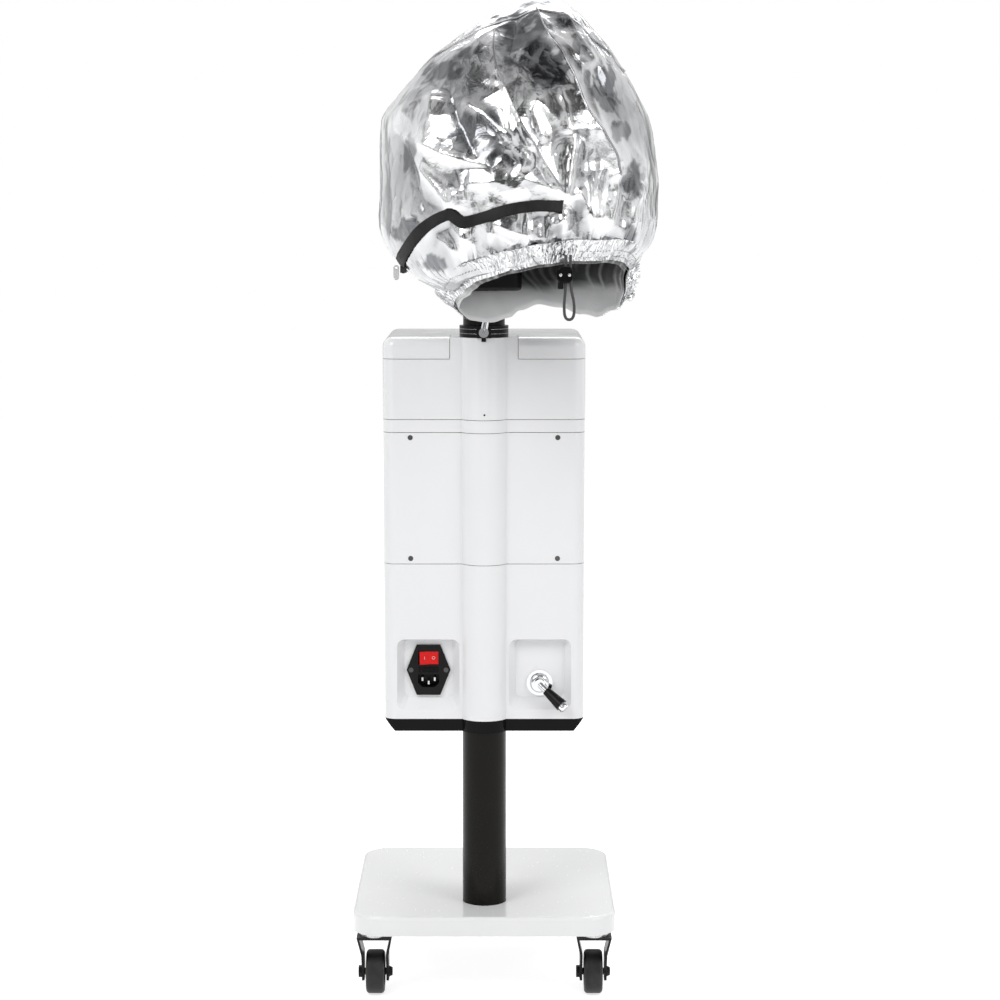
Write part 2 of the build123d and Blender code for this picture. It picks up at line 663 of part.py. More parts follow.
with BuildPart() as service_cover:
    with BuildSketch(Plane.XY.offset(lower_shell_top)):
        add(wall_profile.sketch)
        add(rear_half.sketch, mode=Mode.INTERSECT)
    extrude(amount=cover_height - panel_gap)
    with BuildSketch(rear_plane):
        for level in (cover_screw_low, cover_screw_high):
            with Locations((-cover_screw_x, level), (cover_screw_x, level)):
                Circle(screw_radius + seat_gap)
    extrude(amount=-body_wall, mode=Mode.SUBTRACT)
    with BuildSketch(rear_plane):
        for level in (cover_screw_low, cover_screw_high):
            with Locations((-cover_screw_x, level), (cover_screw_x, level)):
                Circle(screw_head_radius + seat_gap)
    extrude(amount=-screw_head_height, mode=Mode.SUBTRACT)
save(service_cover.part, "service_cover")

# ---- front shell ----
panel_level = tray_top + panel_above_tray

with BuildPart() as front_shell:
    with BuildSketch(Plane.XY.offset(tray_top)):
        add(wall_profile.sketch)
        add(front_half.sketch, mode=Mode.INTERSECT)
    extrude(amount=cover_top - tray_top - panel_gap)
    with BuildSketch(front_plane):
        with Locations((0, panel_level)):
            RectangleRounded(panel_width - 2 * panel_lip, panel_height - 2 * panel_lip, panel_corner)
    extrude(amount=-body_wall, mode=Mode.SUBTRACT)
save(front_shell.part, "front_shell")

# ---- shelf that carries the tank and joins the column to the housing ----
with BuildPart() as middle_shelf:
    with BuildSketch(Plane.XY.offset(cover_top)):
        add(wall_profile.sketch)
    extrude(amount=shelf_height - panel_gap)
    with BuildSketch(Plane.XY.offset(cover_top)):
        add(cavity_profile.sketch)
        with Locations((0, column_y)):
            Circle(column_radius + seat_gap, mode=Mode.SUBTRACT)
    extrude(amount=shelf_floor)
    with BuildSketch(Plane.XY.offset(cover_top)):
        with Locations((feed_x, feed_y)):
            Circle(hose_radius + seat_gap)
    extrude(amount=shelf_floor, mode=Mode.SUBTRACT)
save(middle_shelf.part, "middle_shelf")

# ---- upper shell with the block around the column, and hinge knuckles ----
hinge_y = body_front + hinge_reach
hinge_level = upper_shell_top - panel_gap / 2

with BuildPart() as upper_shell:
    with BuildSketch(Plane.XY.offset(shelf_top)):
        add(wall_profile.sketch)
    extrude(amount=upper_shell_height - panel_gap)
    with BuildSketch(Plane.XY.offset(upper_shell_top - panel_gap - body_wall)):
        add(block_profile.sketch)
    extrude(amount=lid_height + panel_gap + body_wall)
    with BuildSketch(Plane.XY.offset(upper_shell_top - panel_gap - body_wall)):
        with Locations((0, body_rear + body_wall)):
            Rectangle(2 * (block_half_width - body_wall), block_depth - 2 * body_wall,
                      align=(Align.CENTER, Align.MIN))
    extrude(amount=lid_height + panel_gap, mode=Mode.SUBTRACT)
    for side in (-1, 1):
        knuckle_x = side * hinge_spacing / 2 - knuckle_length - knuckle_gap / 2
        with BuildSketch(Plane.YZ.offset(knuckle_x)):
            with Locations((hinge_y, hinge_level)):
                Circle(knuckle_radius)
            with Locations((hinge_y, hinge_level - knuckle_radius)):
                Rectangle(hinge_reach + hinge_overlap, hinge_web, align=(Align.MAX, Align.MIN))
            with Locations((hinge_y, hinge_level)):
                Circle(hinge_pin_radius + running_gap, mode=Mode.SUBTRACT)
        extrude(amount=knuckle_length)
save(upper_shell.part, "upper_shell")

with BuildPart() as tank_lid:
    with BuildSketch(Plane.XY.offset(upper_shell_top)):
        with Locations((0, body_mid_y)):
            RectangleRounded(body_width, body_depth, body_corner_radius)
    extrude(amount=lid_height)
    fillet(tank_lid.faces().sort_by(Axis.Z)[-1].outer_wire().edges(), lid_edge_radius)
    with BuildSketch(Plane.XY.offset(upper_shell_top)):
        add(cavity_profile.sketch)
    extrude(amount=lid_height - body_wall - lid_crown, mode=Mode.SUBTRACT)
    # walls of the notch that clears the column block
    with BuildSketch(Plane.XY.offset(upper_shell_top)):
        with Locations((0, body_rear + body_wall)):
            Rectangle(2 * (block_half_width + panel_gap + body_wall), block_depth + panel_gap,
                      align=(Align.CENTER, Align.MIN))
    extrude(amount=lid_height - body_wall)
    with BuildSketch(Plane.XY.offset(upper_shell_top)):
        with Locations((0, body_rear - clear_cut)):
            Rectangle(2 * (block_half_width + panel_gap), block_depth + panel_gap + clear_cut,
                      align=(Align.CENTER, Align.MIN))
    extrude(amount=lid_height, mode=Mode.SUBTRACT)
    for side in (-1, 1):
        knuckle_x = side * hinge_spacing / 2 + knuckle_gap / 2
        with BuildSketch(Plane.YZ.offset(knuckle_x)):
            with Locations((hinge_y, hinge_level)):
                Circle(knuckle_radius)
            with Locations((hinge_y, hinge_level + knuckle_radius)):
                Rectangle(hinge_reach + hinge_overlap, hinge_web, align=(Align.MAX, Align.MAX))
            with Locations((hinge_y, hinge_level)):
                Circle(hinge_pin_radius + running_gap, mode=Mode.SUBTRACT)
        extrude(amount=knuckle_length)
save(tank_lid.part, "tank_lid")

with BuildPart() as lid_hinge_pins:
    for side in (-1, 1):
        pin_start = side * hinge_spacing / 2 - knuckle_length - knuckle_gap / 2
        with BuildSketch(Plane.YZ.offset(pin_start)):
            with Locations((hinge_y, hinge_level)):
                Circle(hinge_pin_radius)
        extrude(amount=2 * knuckle_length + knuckle_gap)
save(lid_hinge_pins.part, "lid_hinge_pins")

# ---- inner frame: plate, column saddles, cover posts ----
frame_y = column_y + frame_set_back
frame_bottom = cover_top - frame_height
frame_plane = Plane.XZ.offset(-frame_y)

with BuildPart() as inner_frame:
    with BuildSketch(frame_plane):
        with Locations((0, frame_bottom + frame_height / 2)):
            RectangleRounded(frame_width, frame_height, frame_corner)
        with Locations((0, riser_level)):
            Circle(riser_radius + frame_port_gap, mode=Mode.SUBTRACT)
    extrude(amount=-frame_sheet)
    with BuildSketch(frame_plane):
        for level in (cover_screw_low, cover_screw_high - post_drop):
            with Locations((-cover_screw_x, level), (cover_screw_x, level)):
                Circle(post_radius)
    extrude(amount=frame_y - body_rear - body_wall - seat_gap)
    for level in (frame_bottom + saddle_height, cover_top - 2 * saddle_height):
        with BuildSketch(Plane.XY.offset(level)):
            with Locations((0, frame_y)):
                Rectangle(saddle_width, frame_set_back, align=(Align.CENTER, Align.MAX))
            with Locations((0, column_y)):
                Circle(column_radius + seat_gap, mode=Mode.SUBTRACT)
        extrude(amount=saddle_height)
    with BuildSketch(frame_plane.offset(frame_set_back / 2)):
        for level in (cover_screw_low, cover_screw_high):
            with Locations((-cover_screw_x, level), (cover_screw_x, level)):
                Circle(screw_radius + running_gap)
    extrude(amount=frame_y - body_rear, mode=Mode.SUBTRACT)
save(inner_frame.part, "inner_frame")

# ---- screws of the cover and of the inlet ----
inlet_face_y = recess_floor_y - inlet_flange

with BuildPart() as housing_screws:
    with BuildSketch(rear_plane):
        for level in (cover_screw_low, cover_screw_high):
            with Locations((-cover_screw_x, level), (cover_screw_x, level)):
                Circle(screw_radius)
    extrude(amount=-cover_screw_length)
    with BuildSketch(rear_plane):
        for level in (cover_screw_low, cover_screw_high):
            with Locations((-cover_screw_x, level), (cover_screw_x, level)):
                Circle(screw_head_radius)
    extrude(amount=-screw_head_height)
    with BuildSketch(Plane.XZ.offset(-inlet_face_y)):
        with Locations((-recess_centre_x, inlet_level)):
            with GridLocations(inlet_screw_spread, 0, 2, 1):
                Circle(screw_radius)
    extrude(amount=-inlet_flange - body_wall)
    with BuildSketch(Plane.XZ.offset(-inlet_face_y)):
        with Locations((-recess_centre_x, inlet_level)):
            with GridLocations(inlet_screw_spread, 0, 2, 1):
                Circle(screw_head_radius)
    extrude(amount=screw_head_height / 2)
save(housing_screws.part, "housing_screws")

# ---- control panel, window, buttons ----
window_level = panel_level + window_rise
button_level = panel_level - button_drop

with BuildPart() as control_panel:
    with BuildSketch(front_plane):
        with Locations((0, panel_level)):
            RectangleRounded(panel_width, panel_height, panel_corner)
    extrude(amount=panel_thickness)
    fillet(control_panel.faces().sort_by(Axis.Y)[-1].outer_wire().edges(), panel_edge_radius)
    with BuildSketch(front_plane.offset(panel_thickness)):
        with Locations((0, window_level)):
            RectangleRounded(window_width + 2 * running_gap, window_height + 2 * running_gap, window_corner)
    extrude(amount=-window_depth, mode=Mode.SUBTRACT)
    with BuildSketch(front_plane.offset(panel_thickness)):
        with Locations((0, window_level)):
            Rectangle(window_width - 2 * window_ledge, window_height - 2 * window_ledge)
        with Locations((0, button_level)):
            with GridLocations(button_spacing, 0, 3, 1):
                Circle(button_radius + running_gap)
    extrude(amount=-panel_thickness, mode=Mode.SUBTRACT)
save(control_panel.part, "control_panel")

with BuildPart() as display_window:
    with BuildSketch(front_plane.offset(panel_thickness - window_depth)):
        with Locations((0, window_level)):
            RectangleRounded(window_width, window_height, window_corner)
    extrude(amount=window_depth)
save(display_window.part, "display_window")

control_board_y = body_front - body_wall - control_board_depth
button_foot_y = control_board_y + button_travel + button_foot_gap
for column, button_name in ((-1, "button_power"), (0, "button_timer"), (1, "button_mode")):
    with BuildPart() as panel_button:
        with BuildSketch(front_plane.offset(-seat_gap)):
            with Locations((column * button_spacing, button_level)):
                Circle(button_radius)
        extrude(amount=panel_thickness + button_proud + seat_gap)
        fillet(panel_button.faces().sort_by(Axis.Y)[-1].outer_wire().edges(), button_edge_radius)
        with BuildSketch(front_plane.offset(-seat_gap)):
            with Locations((column * button_spacing, button_level)):
                Circle(button_radius + button_flange_lip)
        extrude(amount=-button_flange)
        with BuildSketch(front_plane.offset(-seat_gap)):
            with Locations((column * button_spacing, button_level)):
                Circle(button_radius / 2)
        extrude(amount=-(body_front - seat_gap - button_foot_y))
    save(panel_button.part, button_name)

# ---- circuit boards ----
power_board_level = frame_bottom + power_board_rise

with BuildPart() as circuit_boards:
    with BuildSketch(frame_plane.offset(-frame_sheet)):
        with Locations((power_board_x, power_board_level)):
            with GridLocations(power_board_width - 2 * board_post_inset,
                               power_board_height - 2 * board_post_inset, 2, 2):
                Circle(board_post_radius)
    extrude(amount=-board_stand)
    with BuildSketch(frame_plane.offset(-frame_sheet - board_stand)):
        with Locations((power_board_x, power_board_level)):
            Rectangle(power_board_width, power_board_height)
    extrude(amount=-board_thickness)
    # transformer and relays stand on the power board
    with BuildSketch(frame_plane.offset(-frame_sheet - board_stand - board_thickness)):
        with Locations((power_board_x, power_board_level - transformer_drop)):
            Rectangle(transformer_width, transformer_height)
        for relay_x in relay_places:
            with Locations((power_board_x + relay_x, power_board_level + relay_rise)):
                Rectangle(relay_width, relay_height)
    extrude(amount=-board_parts_height)
    with BuildSketch(Plane.XZ.offset(-control_board_y)):
        with Locations((0, panel_level)):
            Rectangle(control_board_width, control_board_height)
    extrude(amount=board_thickness)
    with BuildSketch(Plane.XZ.offset(-control_board_y)):
        with Locations((0, panel_level)):
            with GridLocations(control_board_width - 2 * board_post_inset,
                               control_board_height - 2 * board_post_inset, 2, 2):
                Circle(board_post_radius)
    extrude(amount=control_board_y - body_front)
save(circuit_boards.part, "circuit_boards")

# ---- water tank ----
tank_bottom = cover_top + shelf_floor
tank_y = body_front - body_wall - tank_front_gap - tank_depth / 2

with BuildPart() as water_tank:
    with BuildSketch(Plane.XY.offset(tank_bottom)):
        with Locations((0, tank_y)):
            RectangleRounded(tank_width, tank_depth, tank_corner)
    extrude(amount=tank_height)
    with BuildSketch(Plane.XY.offset(tank_bottom + tank_wall)):
        with Locations((0, tank_y)):
            RectangleRounded(tank_width - 2 * tank_wall, tank_depth - 2 * tank_wall, tank_corner - tank_wall)
    extrude(amount=tank_height, mode=Mode.SUBTRACT)
    with BuildSketch(Plane.XY.offset(tank_bottom)):
        with Locations((feed_x, feed_y)):
            Circle(hose_radius - hose_wall)
    extrude(amount=tank_wall, mode=Mode.SUBTRACT)
save(water_tank.part, "water_tank")

# ---- boiler ----
boiler_plane = Plane(origin=(boiler_x, boiler_y, 0), x_dir=(1, 0, 0), z_dir=(0, 0, 1))
with BuildPart() as boiler_vessel:
    with BuildSketch(boiler_plane.offset(boiler_bottom)):
        Circle(boiler_radius)
    extrude(amount=boiler_height)
    with BuildSketch(boiler_plane.offset(boiler_bottom + boiler_wall)):
        Circle(boiler_radius - boiler_wall)
    extrude(amount=boiler_height, mode=Mode.SUBTRACT)
    with BuildSketch(boiler_plane.offset(tray_bottom + body_wall)):
        with PolarLocations(boiler_radius - boiler_leg_inset, boiler_leg_count, start_angle=90):
            Circle(boiler_leg_radius)
    extrude(amount=boiler_leg_height)
save(boiler_vessel.part, "boiler_vessel")

feed_end = (boiler_x + feed_inlet_x, boiler_y + feed_inlet_y)
with BuildPart() as boiler_cap:
    with BuildSketch(boiler_plane.offset(boiler_top)):
        Circle(boiler_cap_radius)
        Circle(riser_radius - riser_wall, mode=Mode.SUBTRACT)
    extrude(amount=boiler_cap_height)
    fillet(boiler_cap.faces().sort_by(Axis.Z)[-1].outer_wire().edges(), boiler_cap_edge)
save(boiler_cap.part, "boiler_cap")

element_level = boiler_bottom + boiler_wall + element_radius + element_lift
with BuildPart() as heating_element:
    for turn in range(element_turns):
        with Locations((boiler_x, boiler_y, element_level + turn * element_pitch * element_radius)):
            Torus(element_coil_radius, element_radius)
    # the two legs carry the coil from the cap
    with BuildSketch(boiler_plane.offset(element_level)):
        with PolarLocations(element_coil_radius, 2, start_angle=element_leg_turn):
            Circle(element_radius - element_leg_slack)
    extrude(amount=boiler_top - element_level)
save(heating_element.part, "heating_element")

# ---- hoses: tank to boiler, boiler to drain tap ----
drain_neck_end = recess_floor_y + drain_neck_length
feed_route = [
    (feed_x, feed_y, tank_bottom),
    (feed_x, feed_y, tank_bottom - feed_drop),
    (feed_end[0], feed_end[1], boiler_top + feed_rise),
    (feed_end[0], feed_end[1], boiler_top + boiler_cap_height),
]
drain_start_x = boiler_x + boiler_radius + seat_gap
drain_route = [
    (drain_start_x, boiler_y, boiler_bottom + drain_hose_lift),
    (drain_start_x + drain_hose_run, boiler_y, boiler_bottom + drain_hose_lift),
    (drain_x, boiler_y - drain_hose_reach, drain_level),
    (drain_x, drain_neck_end, drain_level),
]

with BuildPart() as water_hoses:
    with BuildLine() as feed_path:
        FilletPolyline(feed_route, radius=corner_radii(feed_route))
    with BuildSketch(Plane(origin=feed_route[0], z_dir=(0, 0, -1))):
        Circle(hose_radius)
    sweep(path=feed_path.line)
    with BuildLine() as drain_path:
        FilletPolyline(drain_route, radius=corner_radii(drain_route))
    with BuildSketch(Plane(origin=drain_route[0], z_dir=(1, 0, 0))):
        Circle(hose_radius)
    sweep(path=drain_path.line)
save(water_hoses.part, "water_hoses")

# ---- mains inlet module ----
inlet_plane = Plane.XZ.offset(-recess_floor_y)
inlet_face = Plane.XZ.offset(-inlet_face_y)
socket_level = inlet_level - socket_drop
rocker_level = inlet_level + rocker_lift
fuse_level = (socket_level + socket_height / 2 + rocker_level - rocker_height / 2) / 2
inlet_x = -recess_centre_x
rocker_pivot_y = inlet_face_y + rocker_pivot_depth

with BuildPart() as inlet_housing:
    with BuildSketch(inlet_plane):
        with Locations((inlet_x, inlet_level)):
            Polygon(
                (-inlet_flat / 2, inlet_height / 2),
                (inlet_flat / 2, inlet_height / 2),
                (inlet_width / 2, 0),
                (inlet_flat / 2, -inlet_height / 2),
                (-inlet_flat / 2, -inlet_height / 2),
                (-inlet_width / 2, 0),
                align=None,
            )
    extrude(amount=inlet_flange)
    with BuildSketch(inlet_plane):
        with Locations((inlet_x, inlet_level)):
            Rectangle(inlet_body_width, inlet_body_height)
    extrude(amount=-inlet_body_depth)
    with BuildSketch(inlet_face):
        with Locations((inlet_x, inlet_level)):
            with GridLocations(inlet_screw_spread, 0, 2, 1):
                Circle(screw_radius + seat_gap)
    extrude(amount=-inlet_flange, mode=Mode.SUBTRACT)
    # socket with its two lower corners cut off
    with BuildSketch(inlet_face):
        with Locations((inlet_x, socket_level)):
            Polygon(
                (-socket_width / 2, socket_height / 2),
                (socket_width / 2, socket_height / 2),
                (socket_width / 2, socket_chamfer - socket_height / 2),
                (socket_width / 2 - socket_chamfer, -socket_height / 2),
                (socket_chamfer - socket_width / 2, -socket_height / 2),
                (-socket_width / 2, socket_chamfer - socket_height / 2),
                align=None,
            )
    extrude(amount=-socket_depth, mode=Mode.SUBTRACT)
    with BuildSketch(inlet_face.offset(-socket_depth)):
        for across, up in pin_places:
            with Locations((inlet_x + across * pin_spread, socket_level + up)):
                Rectangle(pin_width + 2 * running_gap, pin_height + 2 * running_gap)
    extrude(amount=-inlet_body_depth, mode=Mode.SUBTRACT)
    # well of the rocker with the holes for its two pivots
    with BuildSketch(inlet_face):
        with Locations((inlet_x, rocker_level)):
            Rectangle(rocker_width + 2 * rocker_gap, rocker_height + 2 * seat_gap)
    extrude(amount=-rocker_depth, mode=Mode.SUBTRACT)
    with BuildSketch(Plane.XY.offset(rocker_level)):
        with Locations((inlet_x, rocker_pivot_y)):
            Circle(rocker_pin_radius + running_gap)
    extrude(amount=rocker_height / 2 + rocker_pin_length, both=True, mode=Mode.SUBTRACT)
    with BuildSketch(inlet_face):
        with Locations((inlet_x, fuse_level)):
            Rectangle(fuse_width + 2 * running_gap, fuse_height + 2 * running_gap)
    extrude(amount=-fuse_depth, mode=Mode.SUBTRACT)
save(inlet_housing.part, "inlet_housing")

with BuildPart() as inlet_pins:
    with BuildSketch(inlet_face.offset(pin_length - socket_depth)):
        for across, up in pin_places:
            with Locations((inlet_x + across * pin_spread, socket_level + up)):
                Rectangle(pin_width, pin_height)
    extrude(amount=-pin_length - inlet_body_depth + socket_depth - inlet_flange)
save(inlet_pins.part, "inlet_pins")

rocker_plane = Plane(
    origin=(inlet_x, rocker_pivot_y, rocker_level),
    x_dir=(cos(radians(rocker_tilt)), sin(radians(rocker_tilt)), 0),
    z_dir=(0, 0, 1),
)
rocker_half = rocker_width / 2 - seat_gap

with BuildPart() as rocker_switch:
    with BuildSketch(rocker_plane):
        Polygon(
            (-rocker_half, -rocker_end_proud),
            (0, -rocker_mid_proud),
            (rocker_half, -rocker_end_proud),
            (rocker_half - rocker_foot_taper, rocker_foot_depth),
            (0, rocker_belly_depth),
            (rocker_foot_taper - rocker_half, rocker_foot_depth),
            align=None,
        )
    extrude(amount=rocker_height / 2 - seat_gap, both=True)
    with BuildSketch(rocker_plane):
        Circle(rocker_pin_radius)
    extrude(amount=rocker_height / 2 + rocker_pin_length - seat_gap, both=True)
save(rocker_switch.part, "rocker_switch")

with BuildPart() as fuse_drawer:
    with BuildSketch(inlet_face):
        with Locations((inlet_x, fuse_level)):
            Rectangle(fuse_width, fuse_height)
    extrude(amount=-fuse_depth + seat_gap)
    # finger lip
    with BuildSketch(inlet_face):
        with Locations((inlet_x, fuse_level)):
            Rectangle(fuse_width / 2, fuse_height - fuse_lip_margin)
    extrude(amount=fuse_lip_proud)
    # cradle for the fuse
    with BuildSketch(Plane.XY.offset(fuse_level)):
        with Locations((inlet_x, inlet_face_y + fuse_end_wall)):
            Rectangle(fuse_width - 2 * fuse_side_wall, fuse_depth - 2 * fuse_end_wall,
                      align=(Align.CENTER, Align.MIN))
    extrude(amount=fuse_height, mode=Mode.SUBTRACT)
save(fuse_drawer.part, "fuse_drawer")

# ---- drain tap ----
drain_plane = Plane.XZ.offset(-recess_floor_y)
dome_face_y = recess_floor_y - drain_dome_height
spindle_end_y = dome_face_y + spindle_depth

with BuildPart() as drain_valve:
    with BuildSketch(drain_plane):
        with Locations((drain_x, drain_level)):
            Circle(drain_bezel_radius)
    extrude(amount=drain_bezel_thickness)
    with BuildSketch(drain_plane):
        with Locations((drain_x, drain_level)):
            Circle(drain_dome_radius)
    extrude(amount=drain_dome_height)
    fillet(drain_valve.faces().sort_by(Axis.Y)[0].edges(), drain_dome_edge)
    with BuildSketch(drain_plane):
        with Locations((drain_x, drain_level)):
            Circle(drain_neck_radius)
    extrude(amount=-drain_neck_length)
    with BuildSketch(drain_plane.offset(drain_dome_height)):
        with Locations((drain_x, drain_level)):
            Circle(spindle_radius + running_gap)
    extrude(amount=-(spindle_end_y - dome_face_y), mode=Mode.SUBTRACT)
    with BuildSketch(drain_plane.offset(-body_wall)):
        with Locations((drain_x, drain_level)):
            RegularPolygon(drain_nut_radius, 6)
            Circle(drain_neck_radius + running_gap, mode=Mode.SUBTRACT)
    extrude(amount=-drain_nut_height)
save(drain_valve.part, "drain_valve")

hub_rear_y = dome_face_y - seat_gap
droop, outward = radians(lever_droop), radians(lever_outward)
lever_direction = (cos(droop) * cos(outward), -sin(outward), -sin(droop) * cos(outward))
lever_plane = Plane(
    origin=(drain_x, hub_rear_y - lever_hub_length / 2, drain_level),
    z_dir=lever_direction,
)
lever_length = grip_start + grip_length

with BuildPart() as drain_lever:
    with BuildSketch(Plane.XZ.offset(-hub_rear_y)):
        with Locations((drain_x, drain_level)):
            Circle(spindle_radius)
    extrude(amount=hub_rear_y - spindle_end_y + seat_gap)
    with BuildSketch(Plane.XZ.offset(-hub_rear_y)):
        with Locations((drain_x, drain_level)):
            Circle(lever_hub_radius)
    extrude(amount=lever_hub_length)
    with BuildSketch(lever_plane):
        Circle(lever_stub_radius)
    extrude(amount=lever_length)
    with BuildSketch(lever_plane.offset(lever_length)):
        Circle(lever_cap_radius)
    extrude(amount=lever_cap_length)
    fillet(drain_lever.faces().sort_by(Axis((0, 0, 0), lever_direction))[-1].edges(), lever_cap_edge)
    with BuildSketch(Plane.XZ.offset(-hub_rear_y)):
        with Locations((drain_x, drain_level)):
            Circle(lever_hub_radius * 2)
            Circle(spindle_radius, mode=Mode.SUBTRACT)
    extrude(amount=-lever_hub_length, mode=Mode.SUBTRACT)
save(drain_lever.part, "drain_lever")

with BuildPart() as drain_grip:
    with BuildSketch(lever_plane.offset(grip_start)):
        Circle(grip_root_radius)
    with BuildSketch(lever_plane.offset(lever_length)):
        Circle(grip_end_radius)
    loft()
    with BuildSketch(lever_plane.offset(grip_start)):
        Circle(lever_stub_radius + running_gap)
    extrude(amount=grip_length, mode=Mode.SUBTRACT)
save(drain_grip.part, "drain_grip")

# ---- steam head ----
with BuildSketch() as head_outline:
    Circle(head_width / 2)
    with Locations((0, -head_reach / 2)):
        Rectangle(head_width, head_reach)
    fillet(head_outline.vertices().group_by(Axis.Y)[0], head_front_corner)

nozzle_level = head_bottom + head_height / 2
forward = Vector(sin(radians(head_yaw)), -cos(radians(head_yaw)), 0)
nozzle_plane = Plane(
    origin=Vector(0, column_y, nozzle_level) + forward * head_reach,
    x_dir=(cos(radians(head_yaw)), sin(radians(head_yaw)), 0),
    z_dir=forward,
)

with BuildPart() as steam_head:
    with BuildSketch(head_plane.offset(head_bottom)):
        add(head_outline.sketch)
    extrude(amount=head_height)
    fillet(steam_head.faces().sort_by(Axis.Z)[-1].outer_wire().edges(), head_edge_radius)
    fillet(steam_head.faces().sort_by(Axis.Z)[0].outer_wire().edges(), head_edge_radius)
    with BuildSketch(head_plane.offset(head_bottom + head_wall)):
        offset(head_outline.sketch, amount=-head_wall)
        Circle(pole_radius + head_sleeve_wall, mode=Mode.SUBTRACT)
    extrude(amount=head_height - 2 * head_wall, mode=Mode.SUBTRACT)
    with BuildSketch(head_plane.offset(head_bottom + head_sleeve_height)):
        Circle(pole_radius + head_sleeve_wall + head_sleeve_step)
    extrude(amount=head_height - head_sleeve_height - head_wall, mode=Mode.SUBTRACT)
    with BuildSketch(head_plane.offset(head_bottom)):
        Circle(pole_radius + running_gap)
    extrude(amount=head_sleeve_height, mode=Mode.SUBTRACT)
    with BuildSketch(nozzle_plane):
        Circle(nozzle_radius + running_gap)
    extrude(amount=-2 * head_wall, mode=Mode.SUBTRACT)
save(steam_head.part, "steam_head")

with BuildPart() as steam_nozzle:
    with BuildSketch(nozzle_plane.offset(nozzle_thickness - head_wall)):
        Circle(nozzle_radius)
        Circle(nozzle_hole_radius, mode=Mode.SUBTRACT)
        with PolarLocations(nozzle_ring_radius, nozzle_hole_count):
            Circle(nozzle_hole_radius, mode=Mode.SUBTRACT)
    extrude(amount=-nozzle_thickness)
    nozzle_face = steam_nozzle.faces().sort_by(Axis((0, 0, 0), tuple(forward)))[-1]
    fillet(nozzle_face.outer_wire().edges(), nozzle_edge_radius)
save(steam_nozzle.part, "steam_nozzle")


# ---- bonnet ----
def bonnet_form(growth):
    """Solid of the bonnet's outer shape, grown (or shrunk) by the given amount."""
    with BuildPart() as form:
        for level, centre_x, centre_y, half_width, half_depth in bonnet_sections:
            lift = growth if level == bonnet_sections[-1][0] else 0
            with BuildSketch(Plane.XY.offset(body_top + level + lift)):
                with Locations((centre_x, column_y + centre_y)):
                    Ellipse(half_width + growth, half_depth + growth)
        loft()
    return form.part


def wall_reach(level, across):
    """How far the bonnet's outermost wall stands from the column axis, straight between sections."""
    pairs = zip(bonnet_sections, bonnet_sections[1:])
    low, high = next(pair for pair in pairs if pair[0][0] <= level <= pair[1][0])
    share = (level - low[0]) / (high[0] - low[0])
    _, centre_x, centre_y, half_width, half_depth = [a + (b - a) * share for a, b in zip(low, high)]
    return half_depth * sqrt(1 - ((across - centre_x) / half_width) ** 2) - centre_y


rim_plane = Plane(
    origin=(0, column_y + rim_far_y, body_top + rim_far_height),
    x_dir=(1, 0, 0),
    z_dir=(0, rim_rise, rim_run),
)
head_window_low = head_bottom - clear_cut
bonnet_outer = bonnet_form(0)
bonnet_middle = bonnet_form(-fabric_thickness)
lining_outer = bonnet_form(-fabric_thickness - soft_gap)
lining_inner = bonnet_form(-fabric_thickness - soft_gap - lining_thickness)

for skin_outer, skin_inner, skin_name in (
    (bonnet_outer, bonnet_middle, "hood_fabric"),
    (lining_outer, lining_inner, "hood_lining"),
):
    with BuildPart() as hood_skin:
        add(skin_outer)
        add(skin_inner, mode=Mode.SUBTRACT)
        split(bisect_by=rim_plane, keep=Keep.TOP)
        # the window that the steam head enters by
        with BuildSketch(head_plane.offset(head_window_low)):
            offset(head_outline.sketch, amount=soft_gap)
        extrude(amount=head_height + 2 * clear_cut, mode=Mode.SUBTRACT)
    save(hood_skin.part, skin_name)

with BuildPart() as hem_band:
    add(bonnet_form(soft_gap + hem_thickness))
    add(bonnet_form(soft_gap), mode=Mode.SUBTRACT)
    split(bisect_by=rim_plane, keep=Keep.TOP)
    split(bisect_by=rim_plane.offset(hem_height), keep=Keep.BOTTOM)
    with BuildSketch(head_plane.offset(head_window_low)):
        offset(head_outline.sketch, amount=soft_gap)
    extrude(amount=head_height + 2 * clear_cut, mode=Mode.SUBTRACT)
save(hem_band.part, "hem_band")

# wire frame: a ring resting on the head and two arches that cross at the crown
ring_level = head_top + bow_radius + running_gap
belly = bonnet_sections[3]
ring_x, ring_y = ring_centre_x, column_y - ring_centre_reach
ring_radius = belly[3] - bow_inset


def arch_route(centre, half):
    """Across and height of one arch: up one side of the sections, over the crown, down the other."""
    rows = [row for row in bonnet_sections if ring_level - body_top < row[0] < bonnet_sections[-1][0]]
    near = [(row[centre] - row[half] + bow_inset, body_top + row[0]) for row in rows]
    far = [(row[centre] + row[half] - bow_inset, body_top + row[0]) for row in reversed(rows)]
    return near, far


# the arches stand on the ring, and the side arch passes under the other one
arch_foot = ring_level + bow_radius + running_gap
crossing_drop = 2 * bow_radius + running_gap
left_side, right_side = arch_route(1, 3)
client_side, pole_side = arch_route(2, 4)
side_arch = (
    [(ring_x - ring_radius, ring_y, arch_foot)]
    + [(across, ring_y, level - crossing_drop) for across, level in left_side + right_side]
    + [(ring_x + ring_radius, ring_y, arch_foot)]
)
centre_arch = (
    [(ring_x, ring_y - ring_radius, arch_foot)]
    + [(ring_x, column_y + across, level) for across, level in client_side + pole_side]
    + [(ring_x, ring_y + ring_radius, arch_foot)]
)

